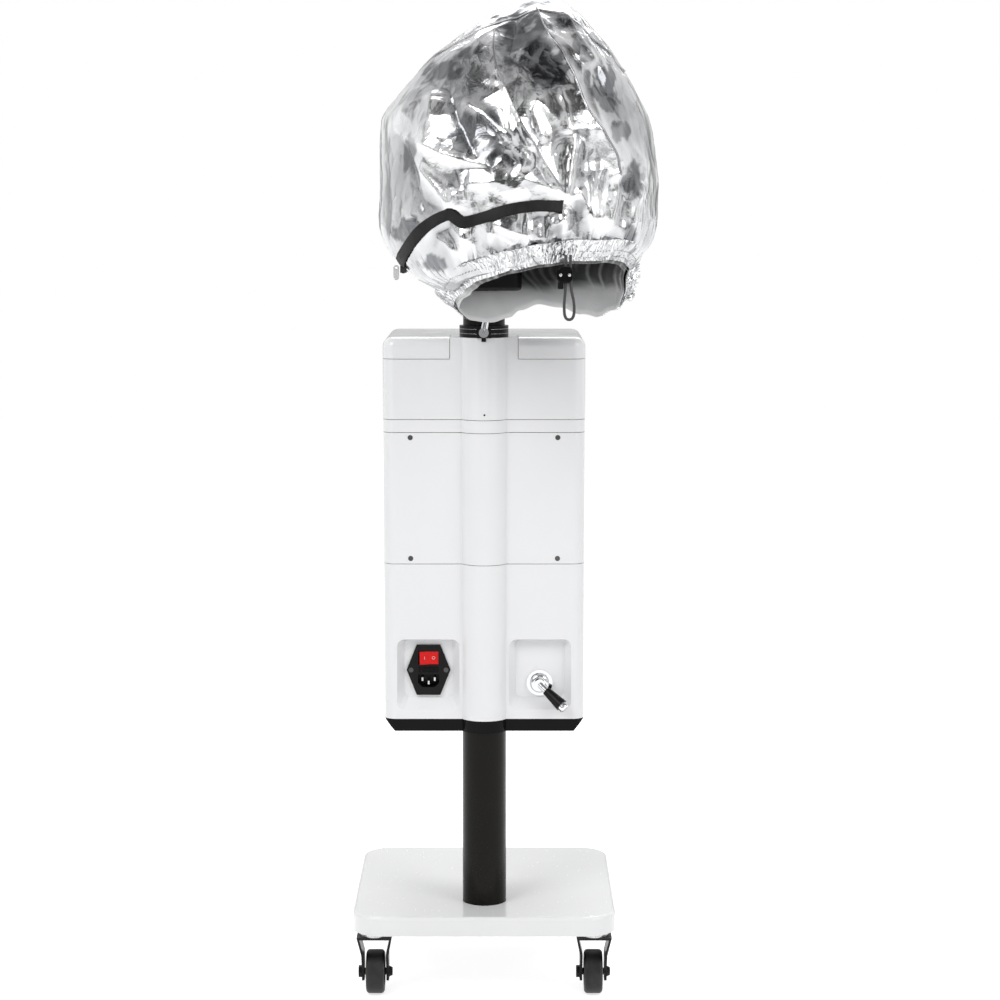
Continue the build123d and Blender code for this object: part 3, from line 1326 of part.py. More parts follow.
with BuildPart() as hood_frame:
    with Locations((ring_x, ring_y, ring_level)):
        Torus(ring_radius, bow_radius)
    for arch in (side_arch, centre_arch):
        with BuildLine() as arch_path:
            FilletPolyline(arch, radius=corner_radii(arch))
        with BuildSketch(Plane(origin=arch[0], z_dir=arch_path.line % 0)):
            Circle(bow_radius)
        sweep(path=arch_path.line)
save(hood_frame.part, "hood_frame")

# ---- zip across the client's side, with its hanging pull ----
zip_back_y = column_y - zip_back_reach

with BuildPart() as hood_zip:
    add(bonnet_form(soft_gap + zip_thickness))
    add(bonnet_form(soft_gap), mode=Mode.SUBTRACT)
    with BuildSketch(Plane.XZ.offset(-zip_back_y)):
        with BuildLine() as zip_line:
            Polyline(*[(across, body_top + level) for across, level in zip_route])
        trace(zip_line.line, line_width=zip_width)
    extrude(amount=zip_cut_depth, mode=Mode.INTERSECT)
save(hood_zip.part, "hood_zip")

pull_x = zip_route[0][0] - pull_outward
pull_y = column_y + bonnet_sections[1][2] - pull_behind
pull_top = body_top + zip_route[0][1] + pull_rise
with BuildPart() as zip_pull:
    with BuildSketch(Plane.XZ.offset(-pull_y)):
        with Locations((pull_x, pull_top)):
            RectangleRounded(pull_width, pull_height, pull_width / 2 - pull_corner_gap,
                             align=(Align.CENTER, Align.MAX))
        with Locations((pull_x, pull_top - pull_width / 2)):
            Circle(pull_eye, mode=Mode.SUBTRACT)
    extrude(amount=pull_thickness / 2, both=True)
save(zip_pull.part, "zip_pull")

# ---- drawcord loop and its lock, hanging at the client's side of the mouth ----
lock_top = body_top + lock_hang
lock_bottom = lock_top - lock_height
cord_stand_off = soft_gap + hem_thickness + cord_clearance + lock_thickness / 2
cord_y = column_y - wall_reach(lock_hang, lock_x) - cord_stand_off
cord_left = lock_x + cord_offset - cord_spread
cord_right = lock_x + cord_offset + cord_spread
cord_route = [
    (cord_left, cord_y + cord_exit_run, lock_top + cord_exit_rise),
    (cord_left, cord_y, lock_top + cord_top_rise),
    (cord_left, cord_y, lock_bottom - cord_left_drop),
    (lock_x + loop_left - loop_swell, cord_y, lock_bottom - cord_waist_left),
    (lock_x + loop_left, cord_y, lock_bottom - loop_drop),
    (lock_x + loop_right, cord_y, lock_bottom - loop_drop),
    (lock_x + loop_right + loop_swell, cord_y, lock_bottom - cord_waist_right),
    (cord_right, cord_y, lock_bottom - cord_right_drop),
    (cord_right, cord_y, lock_top + cord_top_rise),
    (cord_right, cord_y + cord_exit_run, lock_top + cord_exit_rise),
]

with BuildPart() as drawcord:
    with BuildLine() as cord_path:
        FilletPolyline(cord_route, radius=corner_radii(cord_route))
    with BuildSketch(Plane(origin=cord_route[0], z_dir=cord_path.line % 0)):
        Circle(cord_radius)
    sweep(path=cord_path.line)
save(drawcord.part, "drawcord")
cord_length = sum(edge.length for edge in cord_path.line.edges())
cord_bends = [round(radius, 1) for radius in corner_radii(cord_route)]
print("drawcord length", round(cord_length, 1), "radii", cord_bends)

with BuildPart() as cord_lock:
    with BuildSketch(Plane.XZ.offset(-cord_y)):
        with Locations((lock_x, lock_top)):
            RectangleRounded(lock_width, lock_height, lock_corner, align=(Align.CENTER, Align.MAX))
    extrude(amount=lock_thickness / 2, both=True)
    fillet(cord_lock.faces().filter_by(Axis.Y).edges(), lock_edge)
    with BuildSketch(Plane.XY.offset(lock_bottom)):
        with Locations((cord_left, cord_y), (cord_right, cord_y)):
            Circle(cord_radius + running_gap)
        with Locations((lock_x - plunger_offset, cord_y)):
            Circle(plunger_radius + running_gap)
    extrude(amount=plunger_depth, mode=Mode.SUBTRACT)
    with BuildSketch(Plane.XY.offset(lock_bottom)):
        with Locations((cord_left, cord_y), (cord_right, cord_y)):
            Circle(cord_radius + running_gap)
    extrude(amount=lock_height, mode=Mode.SUBTRACT)
save(cord_lock.part, "cord_lock")

with BuildPart() as cord_lock_plunger:
    with BuildSketch(Plane.XY.offset(lock_bottom + plunger_depth - plunger_travel - seat_gap)):
        with Locations((lock_x - plunger_offset, cord_y)):
            Circle(plunger_radius)
    extrude(amount=-(plunger_depth + plunger_proud - seat_gap))
    fillet(cord_lock_plunger.faces().sort_by(Axis.Z)[0].edges(), plunger_edge)
save(cord_lock_plunger.part, "cord_lock_plunger")
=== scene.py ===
"""Dresses a rolling salon hair steamer: glossy white housing, foil bonnet, castors and fittings."""

import logging
import math
import random
from collections.abc import Sequence
from dataclasses import dataclass
from enum import Enum
from typing import Any

import bmesh
import bpy
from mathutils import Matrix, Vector, noise


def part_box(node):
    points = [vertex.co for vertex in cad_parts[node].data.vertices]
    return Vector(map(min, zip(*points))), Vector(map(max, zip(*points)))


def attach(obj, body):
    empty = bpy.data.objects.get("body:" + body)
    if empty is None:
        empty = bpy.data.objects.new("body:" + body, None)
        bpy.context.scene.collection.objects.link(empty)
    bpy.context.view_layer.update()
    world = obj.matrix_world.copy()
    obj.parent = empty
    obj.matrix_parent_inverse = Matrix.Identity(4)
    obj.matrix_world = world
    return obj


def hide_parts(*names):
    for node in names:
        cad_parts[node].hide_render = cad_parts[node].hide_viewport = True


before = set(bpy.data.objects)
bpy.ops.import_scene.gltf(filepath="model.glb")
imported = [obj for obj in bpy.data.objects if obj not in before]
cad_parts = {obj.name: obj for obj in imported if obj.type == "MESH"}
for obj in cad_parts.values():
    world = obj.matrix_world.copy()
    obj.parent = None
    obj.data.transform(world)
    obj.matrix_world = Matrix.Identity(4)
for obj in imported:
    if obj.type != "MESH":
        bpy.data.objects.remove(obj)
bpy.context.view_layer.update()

LOG = logging.getLogger("hair_steamer")
MM = 0.001
SEED = 11

Colour = tuple[float, float, float]
Point = tuple[float, float, float]

ACROSS = Vector((1.0, 0.0, 0.0))
FORWARD = Vector((0.0, 1.0, 0.0))
REARWARD = Vector((0.0, -1.0, 0.0))
UPWARD = Vector((0.0, 0.0, 1.0))


class Nodes:
    """Adds nodes to one tree and wires them."""

    def __init__(self, tree: bpy.types.NodeTree) -> None:
        """Keeps the tree.

        Args:
            tree: The node tree to fill.
        """
        self.tree = tree

    def add(self, kind: str, inputs: dict[Any, Any] | None = None, **settings: Any) -> bpy.types.Node:
        """Adds a node, sets its properties and feeds its inputs.

        Args:
            kind: The node's type name.
            inputs: Socket name or index to a value or to another node's output.
            **settings: Properties of the node itself.

        Returns:
            The new node.
        """
        node = self.tree.nodes.new(kind)
        for name, value in settings.items():
            setattr(node, name, value)
        for key, value in (inputs or {}).items():
            self.feed(node.inputs[key], value)
        return node

    def feed(self, socket: bpy.types.NodeSocket, value: Any) -> None:
        """Wires an output to a socket, or writes a plain value on it.

        Args:
            socket: The input to feed.
            value: Another node's output, or the value itself.
        """
        if isinstance(value, bpy.types.NodeSocket):
            self.tree.links.new(value, socket)
        else:
            socket.default_value = value

    def math(self, operation: str, *values: Any) -> bpy.types.NodeSocket:
        """Adds a Math node.

        Args:
            operation: The operation's name.
            *values: Its inputs in order.

        Returns:
            The result's socket.
        """
        return self.add("ShaderNodeMath", dict(enumerate(values)), operation=operation).outputs[0]

    def vector_math(self, operation: str, *values: Any) -> bpy.types.NodeSocket:
        """Adds a Vector Math node.

        Args:
            operation: The operation's name.
            *values: Its inputs in order.

        Returns:
            The resulting vector's socket.
        """
        return self.add("ShaderNodeVectorMath", dict(enumerate(values)), operation=operation).outputs[0]

    def noise(
        self, where: Any, scale: Any, detail: float, roughness: float = 0.5, output: int | str = 0
    ) -> bpy.types.NodeSocket:
        """Adds a Noise Texture node.

        Args:
            where: The place to read it at.
            scale: Its scale.
            detail: Its detail.
            roughness: Its roughness.
            output: Which output to give, the value unless said.

        Returns:
            That output's socket.
        """
        inputs = {"Vector": where, "Scale": scale, "Detail": detail, "Roughness": roughness}
        return self.add("ShaderNodeTexNoise", inputs).outputs[output]

    def xyz(self, *parts: Any) -> bpy.types.NodeSocket:
        """Joins values into a vector.

        Args:
            *parts: X, Y and Z, of which the last ones may be left out at 0.

        Returns:
            The vector's socket.
        """
        return self.add("ShaderNodeCombineXYZ", dict(enumerate(parts))).outputs[0]

    def mix(self, share: Any, low: Any, high: Any) -> bpy.types.NodeSocket:
        """Mixes two values.

        Args:
            share: 0 gives the first and 1 the second.
            low: The first value.
            high: The second value.

        Returns:
            The mixed value's socket.
        """
        return self.add("ShaderNodeMix", {0: share, 2: low, 3: high}).outputs[0]

    def between(
        self, value: Any, low: float, high: float, start: float = 0.0, end: float = 1.0
    ) -> bpy.types.NodeSocket:
        """Maps a value from low..high to start..end, clamped.

        Args:
            value: The socket or number to map.
            low: Where the source range starts.
            high: Where it ends.
            start: Where the result starts.
            end: Where the result ends.

        Returns:
            The mapped value's socket.
        """
        inputs = {"Value": value, "From Min": low, "From Max": high, "To Min": start, "To Max": end}
        return self.add("ShaderNodeMapRange", inputs, clamp=True).outputs[0]

    def tint(self, amount: Any, dark: Any, light: Any) -> bpy.types.NodeSocket:
        """Mixes two colours.

        Args:
            amount: 0 gives the dark colour and 1 the light one.
            dark: The first colour, linear, or its socket.
            light: The second colour, linear, or its socket.

        Returns:
            The mixed colour's socket.
        """
        ends = [end if isinstance(end, bpy.types.NodeSocket) else (*end, 1.0) for end in (dark, light)]
        return self.add("ShaderNodeMix", {0: amount, 6: ends[0], 7: ends[1]}, data_type="RGBA").outputs[2]


def shader_group(name: str, inputs: dict[str, float], outputs: Sequence[str]) -> tuple[Nodes, Any, Any]:
    """Starts a shader node group with a Vector input, named values and named outputs.

    Args:
        name: The group's name.
        inputs: Value inputs and their defaults.
        outputs: Names of the values that it puts out.

    Returns:
        The group's nodes, its input node and its output node.
    """
    tree = bpy.data.node_groups.new(name, "ShaderNodeTree")
    tree.interface.new_socket("Vector", in_out="INPUT", socket_type="NodeSocketVector")
    for key, value in inputs.items():
        tree.interface.new_socket(key, in_out="INPUT", socket_type="NodeSocketFloat").default_value = value
    for key in outputs:
        tree.interface.new_socket(key, in_out="OUTPUT", socket_type="NodeSocketFloat")
    nodes = Nodes(tree)
    return nodes, nodes.add("NodeGroupInput"), nodes.add("NodeGroupOutput")


def moulded_skin() -> bpy.types.NodeTree:
    """Fine orange peel of a moulded or painted skin, with slow waves of tone."""
    nodes, given, out = shader_group("moulded_skin", {"Pitch": 900.0}, ("Height", "Tone"))
    where = given.outputs["Vector"]
    peel = nodes.noise(where, given.outputs["Pitch"], 2.0)
    slow = nodes.noise(where, 7.0, 3.0)
    nodes.feed(out.inputs["Height"], nodes.math("MULTIPLY_ADD", slow, 2.0, peel))
    nodes.feed(out.inputs["Tone"], nodes.between(slow, 0.35, 0.65))
    return nodes.tree


def handling_marks() -> bpy.types.NodeTree:
    """Smudges and hairline scuffs that handling and wiping leave."""
    nodes, given, out = shader_group("handling_marks", {"Pitch": 24.0}, ("Mask", "Scuff"))
    where = given.outputs["Vector"]
    warp = nodes.noise(where, 9.0, 2.0, output="Color")
    bent = nodes.vector_math("MULTIPLY_ADD", warp, (0.05, 0.05, 0.05), where)
    smudge = nodes.noise(bent, given.outputs["Pitch"], 5.0, roughness=0.62)
    hair = nodes.noise(nodes.vector_math("MULTIPLY", bent, (900.0, 60.0, 45.0)), 1.0, 1.0)
    nodes.feed(out.inputs["Mask"], nodes.between(smudge, 0.45, 0.75))
    nodes.feed(out.inputs["Scuff"], nodes.between(hair, 0.66, 0.74))
    return nodes.tree


def brushed_lines() -> bpy.types.NodeTree:
    """Fine parallel lines along Z, as drawn and brushed metal has."""
    nodes, given, out = shader_group("brushed_lines", {"Pitch": 1400.0}, ("Height", "Tone"))
    where = given.outputs["Vector"]
    drawn = nodes.vector_math("MULTIPLY", where, (1.0, 1.0, 0.02))
    lines = nodes.noise(drawn, given.outputs["Pitch"], 3.0)
    cloud = nodes.noise(where, 30.0, 4.0)
    nodes.feed(out.inputs["Height"], lines)
    nodes.feed(out.inputs["Tone"], nodes.between(nodes.math("ADD", lines, cloud), 0.8, 1.2))
    return nodes.tree


def foil_crumple() -> bpy.types.NodeTree:
    """Small sharp creases of metallised cloth, gathered in patches with smooth facets between."""
    nodes, given, out = shader_group("foil_crumple", {"Pitch": 60.0}, ("Height", "Tone"))
    where = given.outputs["Vector"]
    warp = nodes.noise(where, 22.0, 2.0, output="Color")
    bent = nodes.vector_math("MULTIPLY_ADD", warp, (0.03, 0.03, 0.04), where)
    stretched = nodes.vector_math("MULTIPLY", bent, (1.0, 1.0, 0.6))
    cells = nodes.add("ShaderNodeTexVoronoi", {"Vector": stretched, "Scale": given.outputs["Pitch"]})
    bowl = nodes.math("POWER", cells.outputs["Distance"], 2.0)
    patch = nodes.noise(where, 16.0, 1.0)
    creased = nodes.math("MULTIPLY", bowl, nodes.between(patch, 0.42, 0.62, 0.1, 1.0))
    slow = nodes.noise(bent, 30.0, 2.0)
    fine = nodes.noise(bent, 130.0, 3.0, roughness=0.55)
    ridge = nodes.math("MULTIPLY", nodes.math("ABSOLUTE", nodes.math("SUBTRACT", fine, 0.5)), -0.22)
    soft = nodes.math("MULTIPLY_ADD", slow, 0.8, ridge)
    nodes.feed(out.inputs["Height"], nodes.math("ADD", creased, soft))
    nodes.feed(out.inputs["Tone"], nodes.between(slow, 0.4, 0.6))
    return nodes.tree


def woven_threads() -> bpy.types.NodeTree:
    """Two crossing sets of threads."""
    nodes, given, out = shader_group("woven_threads", {"Pitch": 420.0}, ("Height", "Tone"))
    where, pitch = given.outputs["Vector"], given.outputs["Pitch"]
    sets = []
    for spin in ((1.0, 1.0, 0.0), (0.0, 0.35, 1.0)):
        along = nodes.add("ShaderNodeVectorMath", {0: where, 1: spin}, operation="DOT_PRODUCT")
        turn = nodes.math("MULTIPLY", along.outputs["Value"], nodes.math("MULTIPLY", pitch, math.tau))
        sets.append(nodes.math("ABSOLUTE", nodes.math("SINE", turn)))
    thread = nodes.math("MAXIMUM", sets[0], sets[1])
    slub = nodes.noise(where, 55.0, 4.0)
    nodes.feed(out.inputs["Height"], thread)
    nodes.feed(out.inputs["Tone"], nodes.between(nodes.math("MULTIPLY", thread, slub), 0.15, 0.6))
    return nodes.tree


class Grain(Enum):
    """The small relief that a finish has."""

    MOULDED = "moulded_skin"
    BRUSHED = "brushed_lines"
    CRUMPLED = "foil_crumple"
    WOVEN = "woven_threads"


GROUPS = (moulded_skin, handling_marks, brushed_lines, foil_crumple, woven_threads)
GROUP_MAKERS = {maker.__name__: maker for maker in GROUPS}


def effect(name: str) -> bpy.types.NodeTree:
    """One of the shared shader groups, made the first time it is asked for.

    Args:
        name: The group's name.

    Returns:
        The node group.
    """
    return bpy.data.node_groups.get(name) or GROUP_MAKERS[name]()


@dataclass(frozen=True)
class Finish:
    """How one surface of the steamer looks.

    Colours are linear. The tone of the grain moves the colour from dark to light, and the
    handling marks raise the roughness from smooth to dull.
    """

    name: str
    dark: Colour
    light: Colour
    smooth: float
    dull: float
    metallic: float = 0.0
    coat: float = 0.0
    coat_roughness: float = 0.08
    sheen: float = 0.0
    see_through: float = 0.0
    ior: float = 1.5
    grain: Grain = Grain.MOULDED
    pitch: float = 900.0
    relief: float = 0.05
    depth: float = 0.0002
    dust: Colour = (0.52, 0.51, 0.49)
    dusty: float = 0.04

    def material(self) -> bpy.types.Material:
        """The node material of this finish, made once.

        Returns:
            The material.
        """
        made = bpy.data.materials.get(self.name)
        if made:
            return made
        made = bpy.data.materials.new(self.name)
        made.use_nodes = True
        made.node_tree.nodes.clear()
        nodes = Nodes(made.node_tree)
        where = nodes.add("ShaderNodeTexCoord").outputs["Object"]
        skin = nodes.add("ShaderNodeGroup", node_tree=effect(self.grain.value))
        nodes.feed(skin.inputs["Vector"], where)
        skin.inputs["Pitch"].default_value = self.pitch
        marks = nodes.add("ShaderNodeGroup", node_tree=effect("handling_marks"))
        nodes.feed(marks.inputs["Vector"], where)
        dust_amount = nodes.math("MULTIPLY", marks.outputs["Mask"], self.dusty)
        worn = nodes.math("MAXIMUM", marks.outputs["Mask"], marks.outputs["Scuff"])
        raised = {"Strength": self.relief, "Distance": self.depth, "Height": skin.outputs["Height"]}
        bump = nodes.add("ShaderNodeBump", raised)
        shader = nodes.add(
            "ShaderNodeBsdfPrincipled",
            {
                "Base Color": nodes.tint(dust_amount, self.colour(nodes, skin), self.dust),
                "Roughness": nodes.between(worn, 0.0, 1.0, self.smooth, self.dull),
                "Metallic": self.metallic,
                "IOR": self.ior,
                "Coat Weight": self.coat,
                "Coat Roughness": self.coat_roughness,
                "Sheen Weight": self.sheen,
                "Transmission Weight": self.see_through,
                "Normal": bump.outputs[0],
            },
        )
        nodes.add("ShaderNodeOutputMaterial", {"Surface": shader.outputs[0]})
        return made

    def colour(self, nodes: Nodes, skin: bpy.types.Node) -> bpy.types.NodeSocket:
        """The colour before dust.

        Args:
            nodes: The material's nodes.
            skin: The grain group's node.

        Returns:
            The colour's socket.
        """
        return nodes.tint(skin.outputs["Tone"], self.dark, self.light)


@dataclass(frozen=True)
class FoilFinish(Finish):
    """Silver foil laminated to cloth, darkened towards a painted shade colour where its fold attribute is
    low: painted shade in the valleys of its folds.
    """

    # painted shade colour, which the low fold attribute blends towards
    painted_shade_colour: Colour = (0.2, 0.205, 0.215)

    def colour(self, nodes: Nodes, skin: bpy.types.Node) -> bpy.types.NodeSocket:
        """The colour, darkened towards the painted shade colour where the surface's fold attribute is low.

        Args:
            nodes: The material's nodes.
            skin: The grain group's node.

        Returns:
            The colour's socket.
        """
        plain = nodes.tint(skin.outputs["Tone"], self.dark, self.light)
        fold = nodes.add("ShaderNodeAttribute", attribute_name="fold").outputs["Fac"]
        return nodes.tint(fold, self.painted_shade_colour, plain)


@dataclass(frozen=True)
class BraidFinish(Finish):
    """Braided cord: two spirals of yarn that cross round it."""

    yarns: float = 8.0
    turns: float = 9.0

    def colour(self, nodes: Nodes, skin: bpy.types.Node) -> bpy.types.NodeSocket:
        """The colour, which follows the yarns through the cord's own UV map.

        Args:
            nodes: The material's nodes.
            skin: The grain group's node.

        Returns:
            The colour's socket.
        """
        place = nodes.add("ShaderNodeSeparateXYZ", {0: nodes.add("ShaderNodeTexCoord").outputs["UV"]})
        round_it = nodes.math("MULTIPLY", place.outputs[1], math.tau * self.yarns)
        along = nodes.math("MULTIPLY", place.outputs[0], math.tau * self.yarns * self.turns)
        one = nodes.math("ABSOLUTE", nodes.math("SINE", nodes.math("ADD", round_it, along)))
        other = nodes.math("ABSOLUTE", nodes.math("SINE", nodes.math("SUBTRACT", round_it, along)))
        return nodes.tint(nodes.math("MAXIMUM", one, other), self.dark, self.light)


WHITE_ABS = Finish(
    "white_abs_shell", (0.835, 0.84, 0.852), (0.85, 0.855, 0.865), 0.18, 0.26, coat=0.3, relief=0.02,
    dusty=0.015,
)
WHITE_PAINT = Finish(
    "white_base_lacquer", (0.84, 0.845, 0.85), (0.86, 0.865, 0.87), 0.2, 0.28, coat=0.3, relief=0.02,
    dusty=0.03,
)
BLACK_SATIN = Finish(
    "black_satin_plastic", (0.004, 0.004, 0.004), (0.009, 0.009, 0.009), 0.28, 0.42, ior=1.25,
    relief=0.1, dusty=0.0,
)
BLACK_GLOSS = Finish(
    "black_gloss_plastic", (0.003, 0.003, 0.003), (0.006, 0.006, 0.006), 0.12, 0.22, ior=1.18, dusty=0.0,
)
COLUMN_LACQUER = Finish(
    "black_column_lacquer", (0.004, 0.0035, 0.0025), (0.006, 0.005, 0.004), 0.26, 0.34, ior=1.24,
    relief=0.02, dusty=0.0,
)
ZINC_STEEL = Finish(
    "zinc_steel", (0.38, 0.38, 0.39), (0.6, 0.6, 0.6), 0.26, 0.48, metallic=1.0, grain=Grain.BRUSHED,
    relief=0.15,
)
STAINLESS = Finish(
    "brushed_stainless", (0.45, 0.45, 0.45), (0.66, 0.66, 0.65), 0.22, 0.4, metallic=1.0,
    grain=Grain.BRUSHED, relief=0.2,
)
CHROME = Finish(
    "bright_chrome", (0.62, 0.63, 0.65), (0.78, 0.79, 0.8), 0.05, 0.2, metallic=1.0, relief=0.02,
)
COPPER = Finish(
    "copper_tube", (0.55, 0.22, 0.12), (0.78, 0.38, 0.24), 0.2, 0.45, metallic=1.0, grain=Grain.BRUSHED,
)
TYRE_RUBBER = Finish(
    "tyre_rubber", (0.007, 0.007, 0.007), (0.015, 0.015, 0.015), 0.45, 0.65, ior=1.4, relief=0.3,
    dusty=0.06,
)
DARK_SCREW = Finish(
    "blackened_screw", (0.05, 0.05, 0.052), (0.1, 0.1, 0.1), 0.35, 0.5, metallic=0.5, relief=0.1,
)
HUB_WHITE = Finish(
    "white_hub_nylon", (0.62, 0.62, 0.61), (0.76, 0.76, 0.75), 0.35, 0.55, relief=0.1, dusty=0.12,
)
SILICONE = Finish("milky_silicone", (0.55, 0.55, 0.53), (0.7, 0.7, 0.68), 0.35, 0.5, sheen=0.1, relief=0.1)
RED_ROCKER = Finish(
    "red_rocker_lens", (0.62, 0.004, 0.004), (0.74, 0.01, 0.008), 0.16, 0.28, ior=1.3, relief=0.03,
    dusty=0.0,
)
CLEAR_TANK = Finish(
    "clear_tank_plastic", (0.82, 0.88, 0.9), (0.9, 0.94, 0.95), 0.05, 0.14, see_through=0.9, relief=0.02,
)
SMOKED_WINDOW = Finish(
    "smoked_window", (0.01, 0.012, 0.014), (0.02, 0.024, 0.028), 0.06, 0.16, coat=0.6, relief=0.01,
)
BOARD_GREEN = Finish(
    "green_circuit_board", (0.01, 0.11, 0.045), (0.03, 0.2, 0.09), 0.3, 0.5, coat=0.3, pitch=300.0,
)
# painted shade: the lining's near-black shade colour paints the shaded inside of the hood
LINING_CLOTH = FoilFinish(
    "white_lining_cloth", (0.82, 0.83, 0.84), (0.9, 0.905, 0.91), 0.75, 0.9, sheen=0.3,
    grain=Grain.WOVEN, relief=0.4, painted_shade_colour=(0.02, 0.021, 0.024),
)
BLACK_WEBBING = Finish(
    "black_tape_weave", (0.003, 0.003, 0.003), (0.011, 0.011, 0.012), 0.6, 0.8, sheen=0.04, ior=1.3,
    grain=Grain.WOVEN, relief=0.5,
)
ZIP_NYLON = Finish("black_zip_nylon", (0.008, 0.008, 0.008), (0.03, 0.03, 0.03), 0.25, 0.45, relief=0.1)
CLEAR_PULL = Finish(
    "frosted_pull", (0.66, 0.66, 0.66), (0.82, 0.82, 0.82), 0.2, 0.4, see_through=0.35, relief=0.1,
)
CORD_BRAID = BraidFinish(
    "black_braid", (0.004, 0.004, 0.004), (0.035, 0.035, 0.036), 0.5, 0.7, sheen=0.2, pitch=2500.0,
)
# painted shade: the foil darkens towards its painted shade colour where the bonnet's fold attribute is low
SILVER_FOIL = FoilFinish(
    "silver_foil_cloth", (0.8, 0.805, 0.815), (0.9, 0.905, 0.915), 0.17, 0.25, metallic=1.0,
    grain=Grain.CRUMPLED, pitch=70.0, relief=0.7, depth=0.0026, dusty=0.0,
)
PIPING_FOIL = Finish(
    "silver_piping", (0.3, 0.3, 0.31), (0.62, 0.62, 0.63), 0.25, 0.4, metallic=0.85,
    grain=Grain.CRUMPLED, pitch=160.0,
)
STITCH_GREY = Finish(
    "grey_thread", (0.2, 0.2, 0.2), (0.4, 0.4, 0.4), 0.6, 0.8, sheen=0.2, pitch=2200.0, relief=0.3,
)
MARK_WHITE = Finish("white_moulded_mark", (0.7, 0.6, 0.58), (0.85, 0.78, 0.76), 0.3, 0.5)
LIT_SEGMENT = Finish("dim_display_segment", (0.1, 0.012, 0.008), (0.2, 0.03, 0.02), 0.3, 0.5)


def link(piece: bpy.types.Object) -> bpy.types.Object:
    """Puts an object in the scene.

    Args:
        piece: The object.

    Returns:
        The same object.
    """
    bpy.context.scene.collection.objects.link(piece)
    return piece


def mesh_piece(
    name: str,
    points: Sequence[Sequence[float]],
    faces: Sequence[Sequence[int]],
    edges: Sequence[Sequence[int]] = (),
) -> bpy.types.Object:
    """A smooth mesh object with its place in its mesh.

    Args:
        name: The piece's name.
        points: Vertices in metres.
        faces: Faces as vertex indices.
        edges: Loose edges, for a path.

    Returns:
        The linked object.
    """
    mesh = bpy.data.meshes.new(name)
    mesh.from_pydata([tuple(p) for p in points], list(edges), list(faces))
    mesh.validate()
    if faces:
        mesh.polygons.foreach_set("use_smooth", [True] * len(mesh.polygons))
    return link(bpy.data.objects.new(name, mesh))


def grid_faces(rows: int, columns: int, closed: bool) -> list[tuple[int, int, int, int]]:
    """Quads between rows of points.

    Args:
        rows: Number of rows.
        columns: Points in each row.
        closed: Whether the last column joins the first.

    Returns:
        The quads, for points that run along each row in turn.
    """
    span = columns if closed else columns - 1
    quads = []
    for low in range(0, (rows - 1) * columns, columns):
        high = low + columns
        for here, after in ((c, (c + 1) % columns) for c in range(span)):
            quads.append((low + here, low + after, high + after, high + here))
    return quads


def thicken(piece: bpy.types.Object, thickness: float) -> None:
    """Gives a sheet its wall, inwards, with Solidify.

    Args:
        piece: A mesh object with outward faces.
        thickness: The wall in metres.
    """
    wall = piece.modifiers.new("wall", "SOLIDIFY")
    wall.thickness = thickness
    wall.offset = -1.0
    wall.use_even_offset = False


def dress(finish: Finish, *names: str) -> None:
    """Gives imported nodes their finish.

    Args:
        finish: Their finish.
        *names: The nodes' names.
    """
    for name in names:
        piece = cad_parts[name]
        if not piece.material_slots:
            piece.data.materials.append(finish.material())
        for slot in piece.material_slots:
            slot.material = finish.material()
        LOG.info("dressed %s in %s", name, finish.name)


def place(
    piece: bpy.types.Object, finish: Finish | None, body: str, slot: str, *replaced: str
) -> bpy.types.Object:
    """Finishes a new piece: its material, the body it rides on and the nodes it stands for.

    Args:
        piece: The piece.
        finish: Its finish, or None where its mesh already has one.
        body: The body it moves with.
        slot: The record's material slot; not used.
        *replaced: The nodes it replaces.

    Returns:
        The piece.
    """
    if finish:
        piece.data.materials.clear()
        piece.data.materials.append(finish.material())
    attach(piece, body)
    if replaced:
        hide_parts(*replaced)
    LOG.info("built %s on %s", piece.name, body)
    return piece


def corners(node: str) -> tuple[Vector, Vector]:
    """The low and high corners of a node's box.

    Args:
        node: The node's name.

    Returns:
        The two corners in metres.
    """
    low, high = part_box(node)
    return Vector(low), Vector(high)


def circle(centre: Vector, radius: float, steps: int, across: Vector, up: Vector) -> list[Vector]:
    """Points round a circle, with the first one again at the end.

    Args:
        centre: Its centre.
        radius: Its radius.
        steps: How many points before the last.
        across: The unit direction of the first point.
        up: The unit direction a quarter turn on.

    Returns:
        The points.
    """
    turns = [math.tau * n / steps for n in range(steps + 1)]
    return [centre + across * (radius * math.cos(turn)) + up * (radius * math.sin(turn)) for turn in turns]


def ease(value: float, low: float, high: float) -> float:
    """A smooth step from 0 at low to 1 at high.

    Args:
        value: The value to step.
        low: Where it starts.
        high: Where it ends.

    Returns:
        0 to 1.
    """
    t = min(1.0, max(0.0, (value - low) / (high - low)))
    return t * t * (3 - 2 * t)


